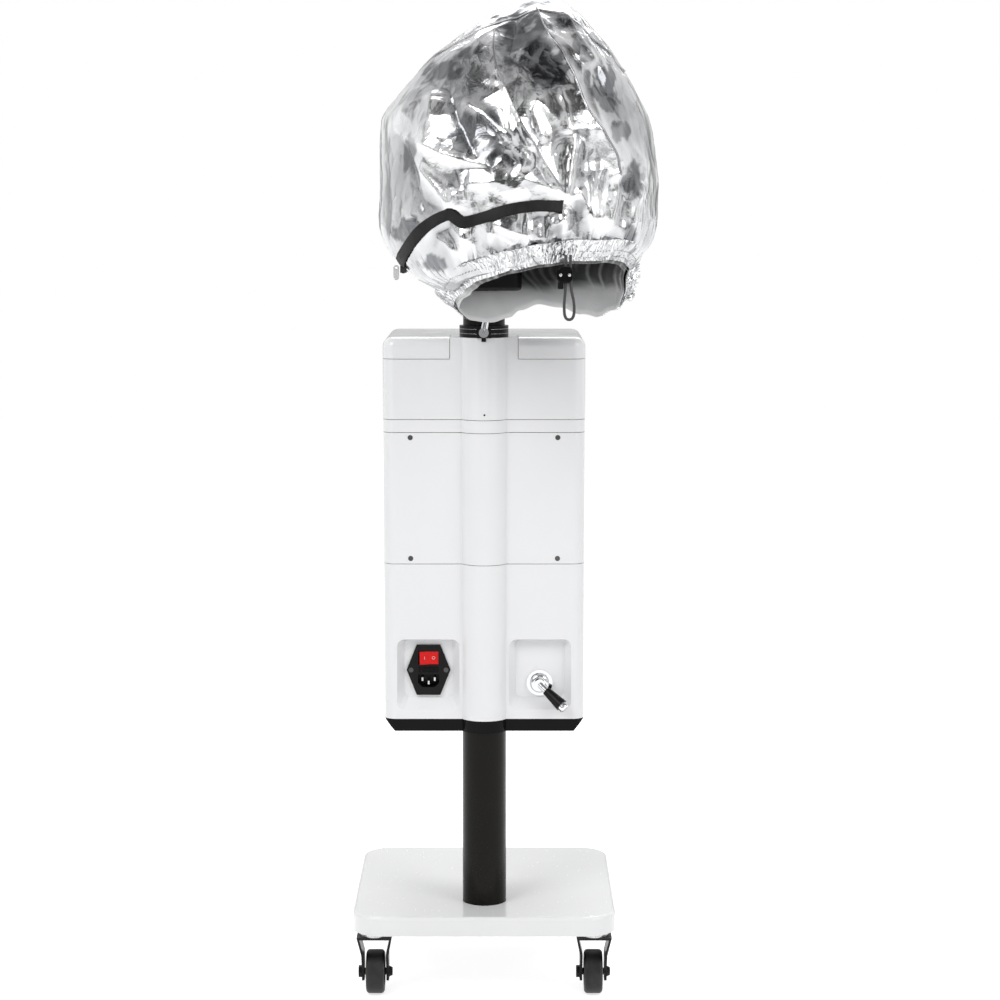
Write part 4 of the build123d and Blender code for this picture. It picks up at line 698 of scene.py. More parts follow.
class Pattern:
    """A Geometry Nodes tree with named inputs, run once and kept as a plain mesh."""

    KINDS = {float: "NodeSocketFloat", int: "NodeSocketInt"}

    def __init__(self, name: str, inputs: dict[str, float | int]) -> None:
        """Starts the tree.

        Args:
            name: The tree's name.
            inputs: Named sizes with their defaults.
        """
        self.tree = bpy.data.node_groups.new(name, "GeometryNodeTree")
        face = self.tree.interface
        face.new_socket("Geometry", in_out="INPUT", socket_type="NodeSocketGeometry")
        for key, value in inputs.items():
            face.new_socket(key, in_out="INPUT", socket_type=self.KINDS[type(value)]).default_value = value
        face.new_socket("Finish", in_out="INPUT", socket_type="NodeSocketMaterial")
        face.new_socket("Geometry", in_out="OUTPUT", socket_type="NodeSocketGeometry")
        self.nodes = Nodes(self.tree)
        self.given = self.nodes.add("NodeGroupInput").outputs
        self.out = self.nodes.add("NodeGroupOutput")

    def end(self, geometry: bpy.types.NodeSocket) -> None:
        """Ends the tree in real, smooth, finished geometry.

        Args:
            geometry: What the tree has made.
        """
        real = self.nodes.add("GeometryNodeRealizeInstances", {0: geometry}).outputs[0]
        smooth = self.nodes.add("GeometryNodeSetShadeSmooth", {"Geometry": real}).outputs[0]
        finished = {"Geometry": smooth, "Material": self.given["Finish"]}
        self.nodes.feed(self.out.inputs[0], self.nodes.add("GeometryNodeSetMaterial", finished).outputs[0])

    def bake(
        self, source: bpy.types.Object, name: str, finish: Finish, **values: float | int
    ) -> bpy.types.Object:
        """Runs the tree on an object and keeps the result as a plain mesh.

        Args:
            source: The mesh that carries the path or the places; it is removed.
            name: The new piece's name.
            finish: The finish that the tree sets.
            **values: The named inputs.

        Returns:
            The new piece.
        """
        worker = source.modifiers.new("pattern", "NODES")
        worker.node_group = self.tree
        wanted = {**values, "Finish": finish.material()}
        for item in self.tree.interface.items_tree:
            if item.item_type == "SOCKET" and item.in_out == "INPUT" and item.name in wanted:
                worker[item.identifier] = wanted[item.name]
        graph = bpy.context.evaluated_depsgraph_get()
        mesh = bpy.data.meshes.new_from_object(source.evaluated_get(graph), depsgraph=graph)
        mesh.name = name
        piece = link(bpy.data.objects.new(name, mesh))
        source.modifiers.remove(worker)
        bpy.data.objects.remove(source)
        return piece


def tube_pattern() -> Pattern:
    """A round tube along each path of edges, used for piping and trim."""
    made = Pattern("tube_along_path", {"Radius": 0.001, "Spacing": 0.003, "Sides": 8})
    nodes, given = made.nodes, made.given
    curve = nodes.add("GeometryNodeMeshToCurve", {0: given["Geometry"]}).outputs[0]
    steps = {"Curve": curve, "Length": given["Spacing"]}
    evened = nodes.add("GeometryNodeResampleCurve", steps, mode="LENGTH")
    size = {"Resolution": given["Sides"], "Radius": given["Radius"]}
    ring = nodes.add("GeometryNodeCurvePrimitiveCircle", size).outputs[0]
    tube = {0: evened.outputs[0], "Profile Curve": ring, "Fill Caps": True}
    made.end(nodes.add("GeometryNodeCurveToMesh", tube).outputs[0])
    return made


def stitch_pattern() -> Pattern:
    """Short rounded stitches, one after another along each path of edges."""
    made = Pattern("stitches_along_path", {"Pitch": 0.004, "Length": 0.0026, "Radius": 0.0004})
    nodes, given = made.nodes, made.given
    curve = nodes.add("GeometryNodeMeshToCurve", {0: given["Geometry"]}).outputs[0]
    steps = nodes.add("GeometryNodeCurveToPoints", {"Curve": curve, "Length": given["Pitch"]}, mode="LENGTH")
    size = {"Segments": 6, "Rings": 4, "Radius": given["Radius"]}
    ball = nodes.add("GeometryNodeMeshUVSphere", size).outputs[0]
    reach = nodes.math("DIVIDE", given["Length"], nodes.math("MULTIPLY", given["Radius"], 2.0))
    stitch = {
        "Points": steps.outputs["Points"],
        "Instance": ball,
        "Rotation": steps.outputs["Rotation"],
        "Scale": nodes.xyz(1.0, 1.0, reach),
    }
    made.end(nodes.add("GeometryNodeInstanceOnPoints", stitch).outputs[0])
    return made


def gather_pattern() -> Pattern:
    """A band along a closed path, pulled into dense uneven gathers by the elastic inside it."""
    sizes = {"Height": 0.02, "Lean": 0.01, "Pitch": 0.006, "Depth": 0.003}
    made = Pattern("gathered_band", {**sizes, "Around": 1300, "Up": 12, "Seed": SEED})
    nodes, given = made.nodes, made.given
    curve = nodes.add("GeometryNodeMeshToCurve", {0: given["Geometry"]}).outputs[0]
    evened = nodes.add("GeometryNodeResampleCurve", {"Curve": curve, "Count": given["Around"]}, mode="COUNT")
    parameter = nodes.add("GeometryNodeSplineParameter").outputs
    kept = nodes.add("GeometryNodeCaptureAttribute", {0: evened.outputs[0]})
    kept.capture_items.new("FLOAT", "along")
    nodes.feed(kept.inputs[1], parameter["Length"])
    end = nodes.xyz(given["Lean"], nodes.math("MULTIPLY", given["Height"], -1.0))
    post = nodes.add("GeometryNodeCurvePrimitiveLine", {"End": end}).outputs[0]
    rungs = nodes.add("GeometryNodeResampleCurve", {"Curve": post, "Count": given["Up"]}, mode="COUNT")
    share = nodes.add("GeometryNodeCaptureAttribute", {0: rungs.outputs[0]})
    share.capture_items.new("FLOAT", "share")
    nodes.feed(share.inputs[1], parameter["Factor"])
    swept = {0: kept.outputs[0], "Profile Curve": share.outputs[0]}
    band = nodes.add("GeometryNodeCurveToMesh", swept).outputs[0]
    where = nodes.add("GeometryNodeInputPosition").outputs[0]
    offset = nodes.vector_math("ADD", where, nodes.xyz(given["Seed"]))
    wander = nodes.noise(offset, 70.0, 2.0)
    phase = nodes.math("MULTIPLY", nodes.math("DIVIDE", kept.outputs[1], given["Pitch"]), math.pi)
    wave = nodes.math("ABSOLUTE", nodes.math("SINE", nodes.math("MULTIPLY_ADD", wander, 16.0, phase)))
    ends = nodes.math("SINE", nodes.math("MULTIPLY", share.outputs[1], math.pi))
    swell = nodes.math("MULTIPLY_ADD", nodes.math("POWER", ends, 0.6), 0.8, 0.2)
    rough = nodes.math("MULTIPLY_ADD", nodes.noise(offset, 150.0, 1.0), 0.6, wave)
    reach = nodes.math("MULTIPLY", nodes.math("MULTIPLY", rough, swell), given["Depth"])
    normal = nodes.add("GeometryNodeInputNormal").outputs[0]
    push = nodes.add("ShaderNodeVectorMath", {0: normal, "Scale": reach}, operation="SCALE").outputs[0]
    moved = nodes.add("GeometryNodeSetPosition", {0: band, "Offset": push}).outputs[0]
    # painted shade: the fold attribute grows darker towards the gathers' valleys
    fold = {"Geometry": moved, "Name": "fold", "Value": nodes.between(rough, 0.1, 1.2, 0.1, 0.9)}
    made.end(nodes.add("GeometryNodeStoreNamedAttribute", fold, data_type="FLOAT", domain="POINT").outputs[0])
    return made


def rib_pattern() -> Pattern:
    """One small rounded bar on each point, turned by the point's own spin attribute about Z."""
    made = Pattern("bars_on_points", {"Width": 0.002, "Depth": 0.002, "Height": 0.01})
    nodes, given = made.nodes, made.given
    size = nodes.xyz(given["Width"], given["Depth"], given["Height"])
    steps = {"Size": size, "Vertices X": 3, "Vertices Y": 3, "Vertices Z": 4}
    bar = nodes.add("GeometryNodeMeshCube", steps).outputs[0]
    soft = nodes.add("GeometryNodeSubdivisionSurface", {"Mesh": bar, "Level": 1}).outputs[0]
    spin = nodes.add("GeometryNodeInputNamedAttribute", {"Name": "spin"}, data_type="FLOAT_VECTOR").outputs[0]
    stood = {"Points": given["Geometry"], "Instance": soft, "Rotation": spin}
    made.end(nodes.add("GeometryNodeInstanceOnPoints", stood).outputs[0])
    return made


def path_piece(name: str, *lines: Sequence[Vector], closed: bool = False) -> bpy.types.Object:
    """Chains of edges for a pattern to follow.

    Args:
        name: The object's name.
        *lines: The points of each chain in order.
        closed: Whether the last point of each joins its first.

    Returns:
        The linked object.
    """
    points: list[Vector] = []
    edges = []
    for line in lines:
        start = len(points)
        points += line
        edges += [(start + n, start + n + 1) for n in range(len(line) - 1)]
        if closed:
            edges.append((start + len(line) - 1, start))
    return mesh_piece(name, points, [], edges)


def spot_piece(name: str, points: Sequence[Vector], spins: Sequence[Point]) -> bpy.types.Object:
    """Loose points with a spin each, for a pattern to stand copies on.

    Args:
        name: The object's name.
        points: The places.
        spins: The turn of each copy, in radians about X, Y and Z.

    Returns:
        The linked object.
    """
    piece = mesh_piece(name, points, [])
    spin = piece.data.attributes.new("spin", "FLOAT_VECTOR", "POINT")
    spin.data.foreach_set("vector", [value for turn in spins for value in turn])
    return piece


@dataclass
class Studio:
    """Pale floor, soft lamps and the camera in front of the rear face."""

    eye: Point = (0.018, -2.7955, 0.9108)
    pitch: float = math.radians(7.191)
    lens: float = 86.97
    aim: Point = (0.0, 0.0, 0.7)
    floor_size: float = 14.0
    floor_glow: float = 0.66
    fill: float = 0.62
    lamps: tuple[tuple[Point, float, float], ...] = (
        ((-1.5, -1.8, 2.4), 1.4, 29.5),
        ((1.8, -1.6, 2.0), 1.2, 18.0),
        ((0.2, 1.6, 2.3), 1.5, 25.0),
    )

    def build(self) -> None:
        """Makes the floor, the world, the lamps and the camera."""
        self.build_floor()
        self.build_world()
        for spot, size, power in self.lamps:
            self.build_lamp(spot, size, power)
        self.build_camera()

    def seen(self, nodes: Nodes) -> bpy.types.NodeSocket:
        """1 for rays that show the background: from the camera, reflected or through clear plastic."""
        path = nodes.add("ShaderNodeLightPath").outputs
        both = nodes.math("MAXIMUM", path["Is Camera Ray"], path["Is Glossy Ray"])
        return nodes.math("MAXIMUM", both, path["Is Transmission Ray"])

    def build_floor(self) -> None:
        """A pale floor that keeps the steamer's shadow."""
        half = self.floor_size / 2
        corners = [(-half, -half, 0), (half, -half, 0), (half, half, 0), (-half, half, 0)]
        floor = mesh_piece("floor", corners, [(0, 1, 2, 3)])
        made = bpy.data.materials.new("pale_floor")
        made.use_nodes = True
        made.node_tree.nodes.clear()
        nodes = Nodes(made.node_tree)
        matt = nodes.add("ShaderNodeBsdfDiffuse", {"Color": (0.8, 0.8, 0.8, 1.0)}).outputs[0]
        lit = {"Color": (1.0, 1.0, 1.0, 1.0), "Strength": self.floor_glow}
        glow = nodes.add("ShaderNodeEmission", lit).outputs[0]
        both = nodes.add("ShaderNodeAddShader", {0: matt, 1: glow}).outputs[0]
        mixed = nodes.add("ShaderNodeMixShader", {0: self.seen(nodes), 1: matt, 2: both}).outputs[0]
        nodes.add("ShaderNodeOutputMaterial", {"Surface": mixed})
        floor.data.materials.append(made)

    def build_world(self) -> None:
        """White behind the steamer, and a soft studio with a darker camera side for what it reflects."""
        world = bpy.data.worlds.new("studio")
        bpy.context.scene.world = world
        world.use_nodes = True
        world.node_tree.nodes.clear()
        nodes = Nodes(world.node_tree)
        way = nodes.add("ShaderNodeTexCoord").outputs["Generated"]
        parts = nodes.add("ShaderNodeSeparateXYZ", {0: way}).outputs
        room = nodes.noise(way, 2.1, 1.0)
        small = nodes.noise(way, 6.5, 0.0)
        mixed = nodes.math("MULTIPLY_ADD", nodes.math("SUBTRACT", small, 0.5), 0.35, room)
        soft = nodes.between(mixed, 0.43, 0.56, 0.05, 0.98)
        edge = nodes.between(parts[1], 0.66, 0.95, 1.0, 0.34)
        far = nodes.mix(nodes.between(parts[2], 0.12, 0.3), edge, 0.95)
        around = nodes.mix(nodes.between(parts[1], -0.1, 0.45), soft, far)
        level = nodes.math("MULTIPLY", around, nodes.between(parts[2], 0.4, 0.9, 1.0, 0.6))
        path = nodes.add("ShaderNodeLightPath").outputs
        direct = nodes.math("MAXIMUM", path["Is Camera Ray"], path["Is Transmission Ray"])
        strength = nodes.mix(direct, nodes.mix(path["Is Glossy Ray"], self.fill, level), 1.0)
        air = nodes.add("ShaderNodeBackground", {"Color": (1.0, 1.0, 1.0, 1.0), "Strength": strength})
        nodes.add("ShaderNodeOutputWorld", {"Surface": air.outputs[0]})

    def build_lamp(self, spot: Point, size: float, power: float) -> None:
        """One square soft lamp aimed at the middle of the steamer.

        Args:
            spot: Where it stands.
            size: Its side.
            power: Its power in watts.
        """
        lamp = bpy.data.lights.new("soft_lamp", "AREA")
        lamp.shape = "SQUARE"
        lamp.size = size
        lamp.energy = power
        stand = link(bpy.data.objects.new("soft_lamp", lamp))
        stand.location = spot
        stand.rotation_euler = (Vector(self.aim) - Vector(spot)).to_track_quat("-Z", "Y").to_euler()

    def build_camera(self) -> None:
        """The camera at eye level with the bonnet's mouth."""
        lens = bpy.data.cameras.new("camera")
        lens.lens = self.lens
        lens.sensor_width = 36.0
        camera = link(bpy.data.objects.new("camera", lens))
        camera.location = self.eye
        camera.rotation_euler = (math.pi / 2 - self.pitch, 0.0, 0.0)
        bpy.context.scene.camera = camera


@dataclass(frozen=True)
class Creases:
    """Facets between sharp creases: the squared distance to the nearest of scattered centres."""

    size: float
    squash: float
    warp_scale: float
    warp: float
    height: float

    def at(self, place: Vector, level: float) -> float:
        """How far the facets stand out at a place.

        Args:
            place: The plain form's point, in millimetres.
            level: Its height.

        Returns:
            Millimetres outwards.
        """
        spot = Vector((place.x, place.y, level * self.squash)) / self.size
        spot += noise.noise_vector(spot * self.warp_scale) * self.warp
        return self.height * (noise.voronoi(spot)[0][0] ** 2 - 0.25)


@dataclass
class Bonnet:
    """The silver bonnet: a loose foil bag over a wire frame, open and gathered below.

    All sizes are in millimetres. A section has a height, the centre's x and y, half its width and half
    its depth. A fold is a line of (x, height) points on the wall that faces the rear of the steamer,
    with how far it stands out, which is negative in a valley, and its width. A patch of painted dark
    reflection has its x and height, how far it reaches across and up, and how much it darkens the foil.
    """

    sections: tuple[tuple[float, ...], ...] = (
        (770, 63, -206, 88, 90),
        (806, 58, -210, 99, 98),
        (828, 40, -206, 116, 119),
        (866, 39, -192, 141, 140),
        (910, 39, -189, 144.5, 143),
        (947, 39, -188, 143.5, 143),
        (989, 38, -188, 137, 136),
        (1019, 38, -187, 121, 121),
        (1055, 42, -187, 97, 98),
        (1080, 49, -186, 72, 72),
        (1098, 56, -185, 51, 50),
        (1108, 60, -184, 35, 34),
        (1114, 61, -184, 25, 23),
        (1118.5, 61, -184, 12, 11),
    )
    crown: float = 1122.0
    rim_level: float = 784.0
    rim_x: float = 26.0
    rim_y: float = -122.0
    rim_slope: float = 53 / 208
    rim_tilt: float = 0.19
    wall: float = 0.8
    lining_wall: float = 0.6
    lining_gap: float = 4.5
    crown_rings: tuple[tuple[float, float], ...] = ((0.66, 0.0007), (0.33, 0.0012), (0.0, 0.0013))
    # painted shade level of the crown's cap
    crown_painted_shade: float = 0.15
    tension: tuple[float, float] = (-99.0, 989.0)
    far_rim: tuple[tuple[float, float], ...] = (
        (-34, 791), (-17, 780), (5, 779), (25, 783), (38, 791), (61, 797), (88, 794), (110, 786),
        (128, 785), (147, 793), (161, 808), (175, 818),
    )
    folds: tuple[tuple[tuple[tuple[float, float], ...], float, float], ...] = (
        (
            ((56, 1104), (65, 1072), (80, 1054), (93, 1028), (104, 998), (120, 972), (131, 952), (137, 931)),
            6.5,
            9.0,
        ),
        (((14, 1080), (12, 1059), (16, 1037), (27, 1009), (40, 981), (58, 952), (80, 916)), 7.0, 10.0),
        (((76, 1104), (89, 1085), (104, 1063), (122, 1039), (137, 1018)), 5.0, 8.0),
        (((36, 1098), (32, 1078), (27, 1054), (45, 1037)), -4.0, 10.0),
        (((-34, 1013), (-28, 994), (-19, 972), (-4, 944)), -5.0, 7.0),
        (((-92, 981), (-61, 965), (-30, 950), (-4, 943), (36, 929), (80, 914)), 7.0, 9.0),
        (((-93, 983), (-78, 959), (-69, 931), (-59, 894)), -7.0, 9.0),
        (((-87, 976), (-63, 939), (-45, 916), (-26, 892)), 6.0, 8.0),
        (((-95, 972), (-97, 937), (-97, 905)), 4.0, 9.0),
        (((-89, 989), (-61, 1009), (-34, 1015)), 5.0, 9.0),
        (((-65, 1039), (-50, 1024), (-32, 1013)), -4.0, 10.0),
        (((-23, 1005), (1, 994), (23, 972), (49, 942)), 5.5, 9.0),
        (((58, 1013), (51, 994), (58, 976), (65, 963)), 5.0, 7.0),
        (((78, 1020), (84, 998), (87, 970)), 5.5, 8.0),
        (((93, 970), (88, 937), (83, 905), (81, 870)), 8.0, 8.0),
        (((96, 918), (104, 903), (115, 877)), 6.0, 7.0),
        (((121, 944), (115, 916), (115, 881)), 5.0, 8.0),
        (((135, 937), (138, 916), (126, 870)), 6.0, 7.0),
        (((137, 931), (146, 905), (144, 877)), -5.0, 8.0),
        (((115, 1050), (126, 1020), (142, 989), (153, 959)), -5.0, 12.0),
        (((142, 989), (150, 972), (166, 946), (168, 920)), 5.0, 9.0),
        (((166, 920), (155, 894), (146, 866)), 5.0, 8.0),
        (((-23, 937), (5, 939), (36, 929)), -4.0, 8.0),
        (((-15, 922), (14, 924), (49, 913)), 4.5, 8.0),
        (((-30, 916), (-26, 894)), 4.0, 8.0),
        (((10, 883), (32, 874), (49, 868)), 4.0, 5.0),
        (((5, 874), (23, 866), (36, 859)), 3.5, 5.0),
        (((56, 883), (55, 872), (58, 864)), 4.0, 6.0),
        (((71, 890), (73, 877), (76, 868)), 3.5, 6.0),
        (((-45, 868), (-32, 857), (-19, 848)), 4.0, 5.0),
        (((-32, 881), (-19, 868), (-4, 857)), 3.5, 5.0),
    )
    # painted dark reflection patches on the rear-facing wall: x, height, reach across, reach up, darkening
    painted_dark_reflections: tuple[tuple[float, ...], ...] = (
        (34, 1089, 34, 11, 0.65), (92, 1092, 22, 12, 0.5), (58, 1112, 20, 7, 0.5),
        (49, 1067, 28, 24, 0.75), (67, 1039, 20, 20, 0.8), (-45, 1039, 20, 13, 0.7),
        (-72, 1007, 13, 11, 0.45), (-8, 981, 26, 15, 0.5), (23, 950, 28, 13, 0.55),
        (-21, 961, 13, 13, 0.4), (-78, 874, 17, 13, 0.75), (-76, 955, 7, 24, 0.6),
        (128, 1018, 13, 28, 0.75), (155, 924, 13, 20, 0.7), (153, 870, 11, 15, 0.75),
        (40, 924, 28, 9, 0.5), (-26, 926, 13, 13, 0.35), (23, 989, 13, 9, 0.5), (102, 1067, 11, 13, 0.5),
        (99, 892, 7, 17, 0.5), (76, 874, 13, 13, 0.55), (25, 883, 13, 9, 0.5), (-48, 842, 20, 9, 0.55),
        (100, 976, 9, 13, 0.45), (-12, 1057, 15, 9, 0.5), (142, 976, 11, 13, 0.5),
    )
    zip_line: tuple[tuple[float, float], ...] = (
        (-88, 832), (-86, 842), (-80, 853), (-71.5, 864), (-61, 875.5), (-49.7, 884.2), (-38.5, 889.5),
        (-31, 890.5), (-24.5, 886.2), (-18.6, 883.5), (-7.7, 885.5), (5.4, 889.3), (18.3, 893.6),
        (31.3, 896.8), (44.2, 898.9), (57.2, 900), (70.2, 899.6), (80, 898.9),
    )
    zip_width: float = 11.0
    broad: Creases = Creases(size=52.0, squash=0.6, warp_scale=1.1, warp=0.45, height=8.0)
    small: Creases = Creases(size=19.0, squash=0.7, warp_scale=0.8, warp=0.5, height=2.4)
    side_fold_count: int = 20

    def __post_init__(self) -> None:
        """Draws the long folds of the other sides, the same way each run.

        Each has its start and lean as shares of a turn, where it begins and ends as shares of the
        height, how far it stands out, and its width as a share of a turn.
        """
        noise.seed_set(SEED)
        pick = random.Random(SEED)
        self.side_folds: list[tuple[float, float, float, float, float, float]] = [
            (
                -0.02 + 0.55 * (n + pick.uniform(-0.3, 0.3)) / (self.side_fold_count - 1),
                pick.uniform(-0.035, 0.035),
                pick.uniform(0.0, 0.25),
                pick.uniform(0.55, 1.0),
                pick.uniform(4.0, 8.0),
                pick.uniform(0.006, 0.013),
            )
            for n in range(self.side_fold_count)
        ]

    def section(self, level: float) -> tuple[float, float, float, float]:
        """Centre and half sizes at a height, by a smooth curve through the sections.

        Args:
            level: Height in millimetres.

        Returns:
            Centre x, centre y, half width and half depth.
        """
        rows = self.sections
        last = len(rows) - 1
        place = next((n for n in range(last) if level < rows[n + 1][0]), last - 1)
        a, b = rows[max(place - 1, 0)], rows[place]
        c, d = rows[place + 1], rows[min(place + 2, last)]
        t = min(1.0, max(0.0, (level - b[0]) / (c[0] - b[0])))
        found = []
        for k in range(1, 5):
            rise_b = (c[k] - a[k]) / (c[0] - a[0]) * (c[0] - b[0])
            rise_c = (d[k] - b[k]) / (d[0] - b[0]) * (c[0] - b[0])
            curve = (
                (2 * t**3 - 3 * t**2 + 1) * b[k]
                + (t**3 - 2 * t**2 + t) * rise_b
                + (-2 * t**3 + 3 * t**2) * c[k]
                + (t**3 - t**2) * rise_c
            )
            found.append(curve)
        return found[0], found[1], found[2], found[3]

    def wall_point(self, turn: float, level: float, inset: float = 0.0) -> Vector:
        """A point of the plain form.

        Args:
            turn: Angle round the form; a quarter back from 0 faces the rear of the steamer.
            level: Height in millimetres.
            inset: How far inside the form, in millimetres.

        Returns:
            The point in millimetres.
        """
        x, y, width, depth = self.section(level)
        return Vector((x + (width - inset) * math.cos(turn), y + (depth - inset) * math.sin(turn), level))

    def rim_at(self, turn: float, drop: float = 0.0) -> float:
        """Height of the mouth's edge at an angle.

        Args:
            turn: Angle round the form.
            drop: How far below the mouth's plane.

        Returns:
            The height in millimetres.
        """
        level = 800.0
        far = ease(math.sin(turn), -0.15, 0.35)
        for _ in range(12):
            spot = self.wall_point(turn, level)
            tilt = (spot.x - self.rim_x) * self.rim_tilt
            plane = self.rim_level - (spot.y - self.rim_y) * self.rim_slope + tilt
            hung = plane + 2.0 * noise.noise(spot / 24.0)
            if far > 0:
                hung += far * (self.between_points(spot.x, self.far_rim) - plane)
            level += 0.7 * (hung - level)
        return level - drop

    @staticmethod
    def between_points(across: float, line: Sequence[tuple[float, float]]) -> float:
        """Height of a line of points at a place across it.

        Args:
            across: The place.
            line: Its (across, height) points, left to right.

        Returns:
            The height, eased from point to point.
        """
        for (ax, az), (bx, bz) in zip(line, line[1:]):
            if across < bx:
                return az + (bz - az) * ease(max(across, ax), ax, bx)
        return line[-1][1]

    def outward(self, turn: float, level: float) -> Vector:
        """The plain form's outward direction.

        Args:
            turn: Angle round the form.
            level: Height in millimetres.

        Returns:
            A unit vector.
        """
        round_it = self.wall_point(turn + 0.01, level) - self.wall_point(turn - 0.01, level)
        up = self.wall_point(turn, min(level + 2, self.crown - 0.1)) - self.wall_point(turn, level - 2)
        return round_it.cross(up).normalized()

    @staticmethod
    def distance(spot: tuple[float, float], line: Sequence[tuple[float, float]]) -> tuple[float, float]:
        """How far a spot is from a line of points, and how far along it.

        Args:
            spot: Across and height.
            line: The line's points.

        Returns:
            The distance, and 0 to 1 along the line.
        """
        best, along = 1e9, 0.0
        for n, ((ax, az), (bx, bz)) in enumerate(zip(line, line[1:])):
            wx, wz = bx - ax, bz - az
            t = min(1.0, max(0.0, ((spot[0] - ax) * wx + (spot[1] - az) * wz) / (wx * wx + wz * wz)))
            gap = math.hypot(spot[0] - ax - wx * t, spot[1] - az - wz * t)
            if gap < best:
                best, along = gap, (n + t) / (len(line) - 1)
        return best, along

    def relief(self, turn: float, level: float, place: Vector) -> float:
        """How far the cloth stands off the plain form.

        Args:
            turn: Angle round the form.
            level: Height in millimetres.
            place: The plain form's point, in millimetres.

        Returns:
            Millimetres outwards.
        """
        facing = ease(-math.sin(turn), 0.15, 0.6)
        stand = facing * self.placed_folds((place.x, level)) if facing > 0 else 0.0
        stand += (1 - facing) * self.long_folds(turn, level)
        whole = Vector((place.x, place.y, level))
        stand += self.broad.at(place, level)
        stand += ease(noise.noise(whole / 38.0), -0.15, 0.3) * self.small.at(place, level)
        return stand + 3.0 * noise.noise(whole / 60.0)

    def placed_folds(self, spot: tuple[float, float]) -> float:
        """How far the folds that the rear-facing wall shows stand out.

        Args:
            spot: Across and height.

        Returns:
            Millimetres outwards.
        """
        stand = 0.0
        for line, height, width in self.folds:
            gap, along = self.distance(spot, line)
            if gap < 3.5 * width:
                fade = ease(along, -0.1, 0.14) * (1 - ease(along, 0.82, 1.1))
                flank = max(0.0, 1 - gap / (3.2 * width))
                stand += height * fade * (0.55 * flank**1.6 + 0.45 * math.exp(-1.6 * gap / width))
        return stand

    def long_folds(self, turn: float, level: float) -> float:
        """How far the long folds of the other sides stand out.

        Args:
            turn: Angle round the form.
            level: Height in millimetres.

        Returns:
            Millimetres outwards.
        """
        stand = 0.0
        high = (level - self.rim_level) / (self.crown - self.rim_level)
        rounds = turn / math.tau % 1.0
        for start, lean, low, top, height, width in self.side_folds:
            line_at = start + lean * (high - 0.5) + 0.004 * math.sin(high * 14 + start * 40)
            gap = abs((rounds - line_at + 0.5) % 1.0 - 0.5)
            spread = width * (1.3 - 0.4 * high)
            if gap < 4 * spread:
                fade = ease(high, low - 0.1, low + 0.1) * (1 - ease(high, top - 0.15, top + 0.02))
                stand += height * fade * math.exp(-gap / spread)
        return stand

    def tone(self, turn: float, place: Vector, stand: float) -> float:
        """How bright the foil is here, as painted shade and highlight: painted shade in the valleys, painted
        highlight on the crests, painted dark reflection patches on the rear-facing wall, random duller
        clouds and painted shade over the crown.

        Args:
            turn: Angle round the form.
            place: The plain form's point, in millimetres.
            stand: How far the cloth stands off the form there.

        Returns:
            0 for dull to 1 for bright.
        """
        # painted shade in the valleys and painted highlight on the crests, from how far the cloth stands out
        bright = 0.6 + stand / 12.0
        facing = ease(-math.sin(turn), 0.0, 0.4)
        # painted dark reflection patches, only on the rear-facing wall
        if facing > 0:
            for x, level, wide, tall, amount in self.painted_dark_reflections:
                wander = 0.7 * noise.noise(place / 19.0) + 0.35 * noise.noise(place / 7.0)
                off = math.hypot((place.x - x) / wide, (place.z - level) / tall) + wander
                bright -= facing * amount * (1 - ease(off, 0.72, 1.02))
        streak = Vector((place.x / 22.0, place.y / 22.0, place.z / 70.0))
        cloud = noise.noise(streak + 0.8 * noise.noise_vector(streak * 1.5))
        bright -= (1 - 0.6 * facing) * 0.35 * ease(cloud, -0.15, 0.55)
        # painted shade over the crown, which keeps its top grey instead of reflecting the lamps white
        crown = ease(place.z + 9 * noise.noise(place / 17.0), 1076, 1100)
        return min(1.0, max(0.0, bright - 0.62 * crown))

    @staticmethod
    def shade(turn: float, level: float) -> float:
        """How white the lining is here: a white band at the mouth, then painted shade over the inside, in
        uneven streaks.

        Args:
            turn: Angle round the form.
            level: Height in millimetres.

        Returns:
            0 for full painted shade to 1 for white.
        """
        shade_streaks = noise.noise(Vector((turn * 16.0, 2.0, level / 60.0)))
        # painted shade: the lining darkens above the white band at the mouth
        inside = ease(level + 7 * noise.noise(Vector((turn * 3.0, 5.0, 0.0))), 806, 818)
        return 1 - inside * (0.93 - 0.55 * ease(shade_streaks, 0.05, 0.4))

    def gathers(self, turn: float, above: float) -> float:
        """The puckers that the elastic makes above the mouth.

        Args:
            turn: Angle round the form.
            above: Millimetres above the mouth's edge.

        Returns:
            Millimetres outwards.
        """
        wander = 2.4 * noise.noise(Vector((math.cos(turn), math.sin(turn), 0.3)) * 5.0)
        coarse = 1 - 2 * abs(math.sin(turn * 23 + wander * 1.5))
        fine = 1 - 2 * abs(math.sin(turn * 47 + wander * 3 + 1.3))
        reach = 30 + 34 * noise.noise(Vector((math.cos(turn) * 9, math.sin(turn) * 9, 2.0)))
        puckers = 2.6 * coarse + 1.5 * fine + 1.6
        return puckers * math.exp(-((above / max(reach, 12)) ** 1.4)) * ease(above, 4, 20)

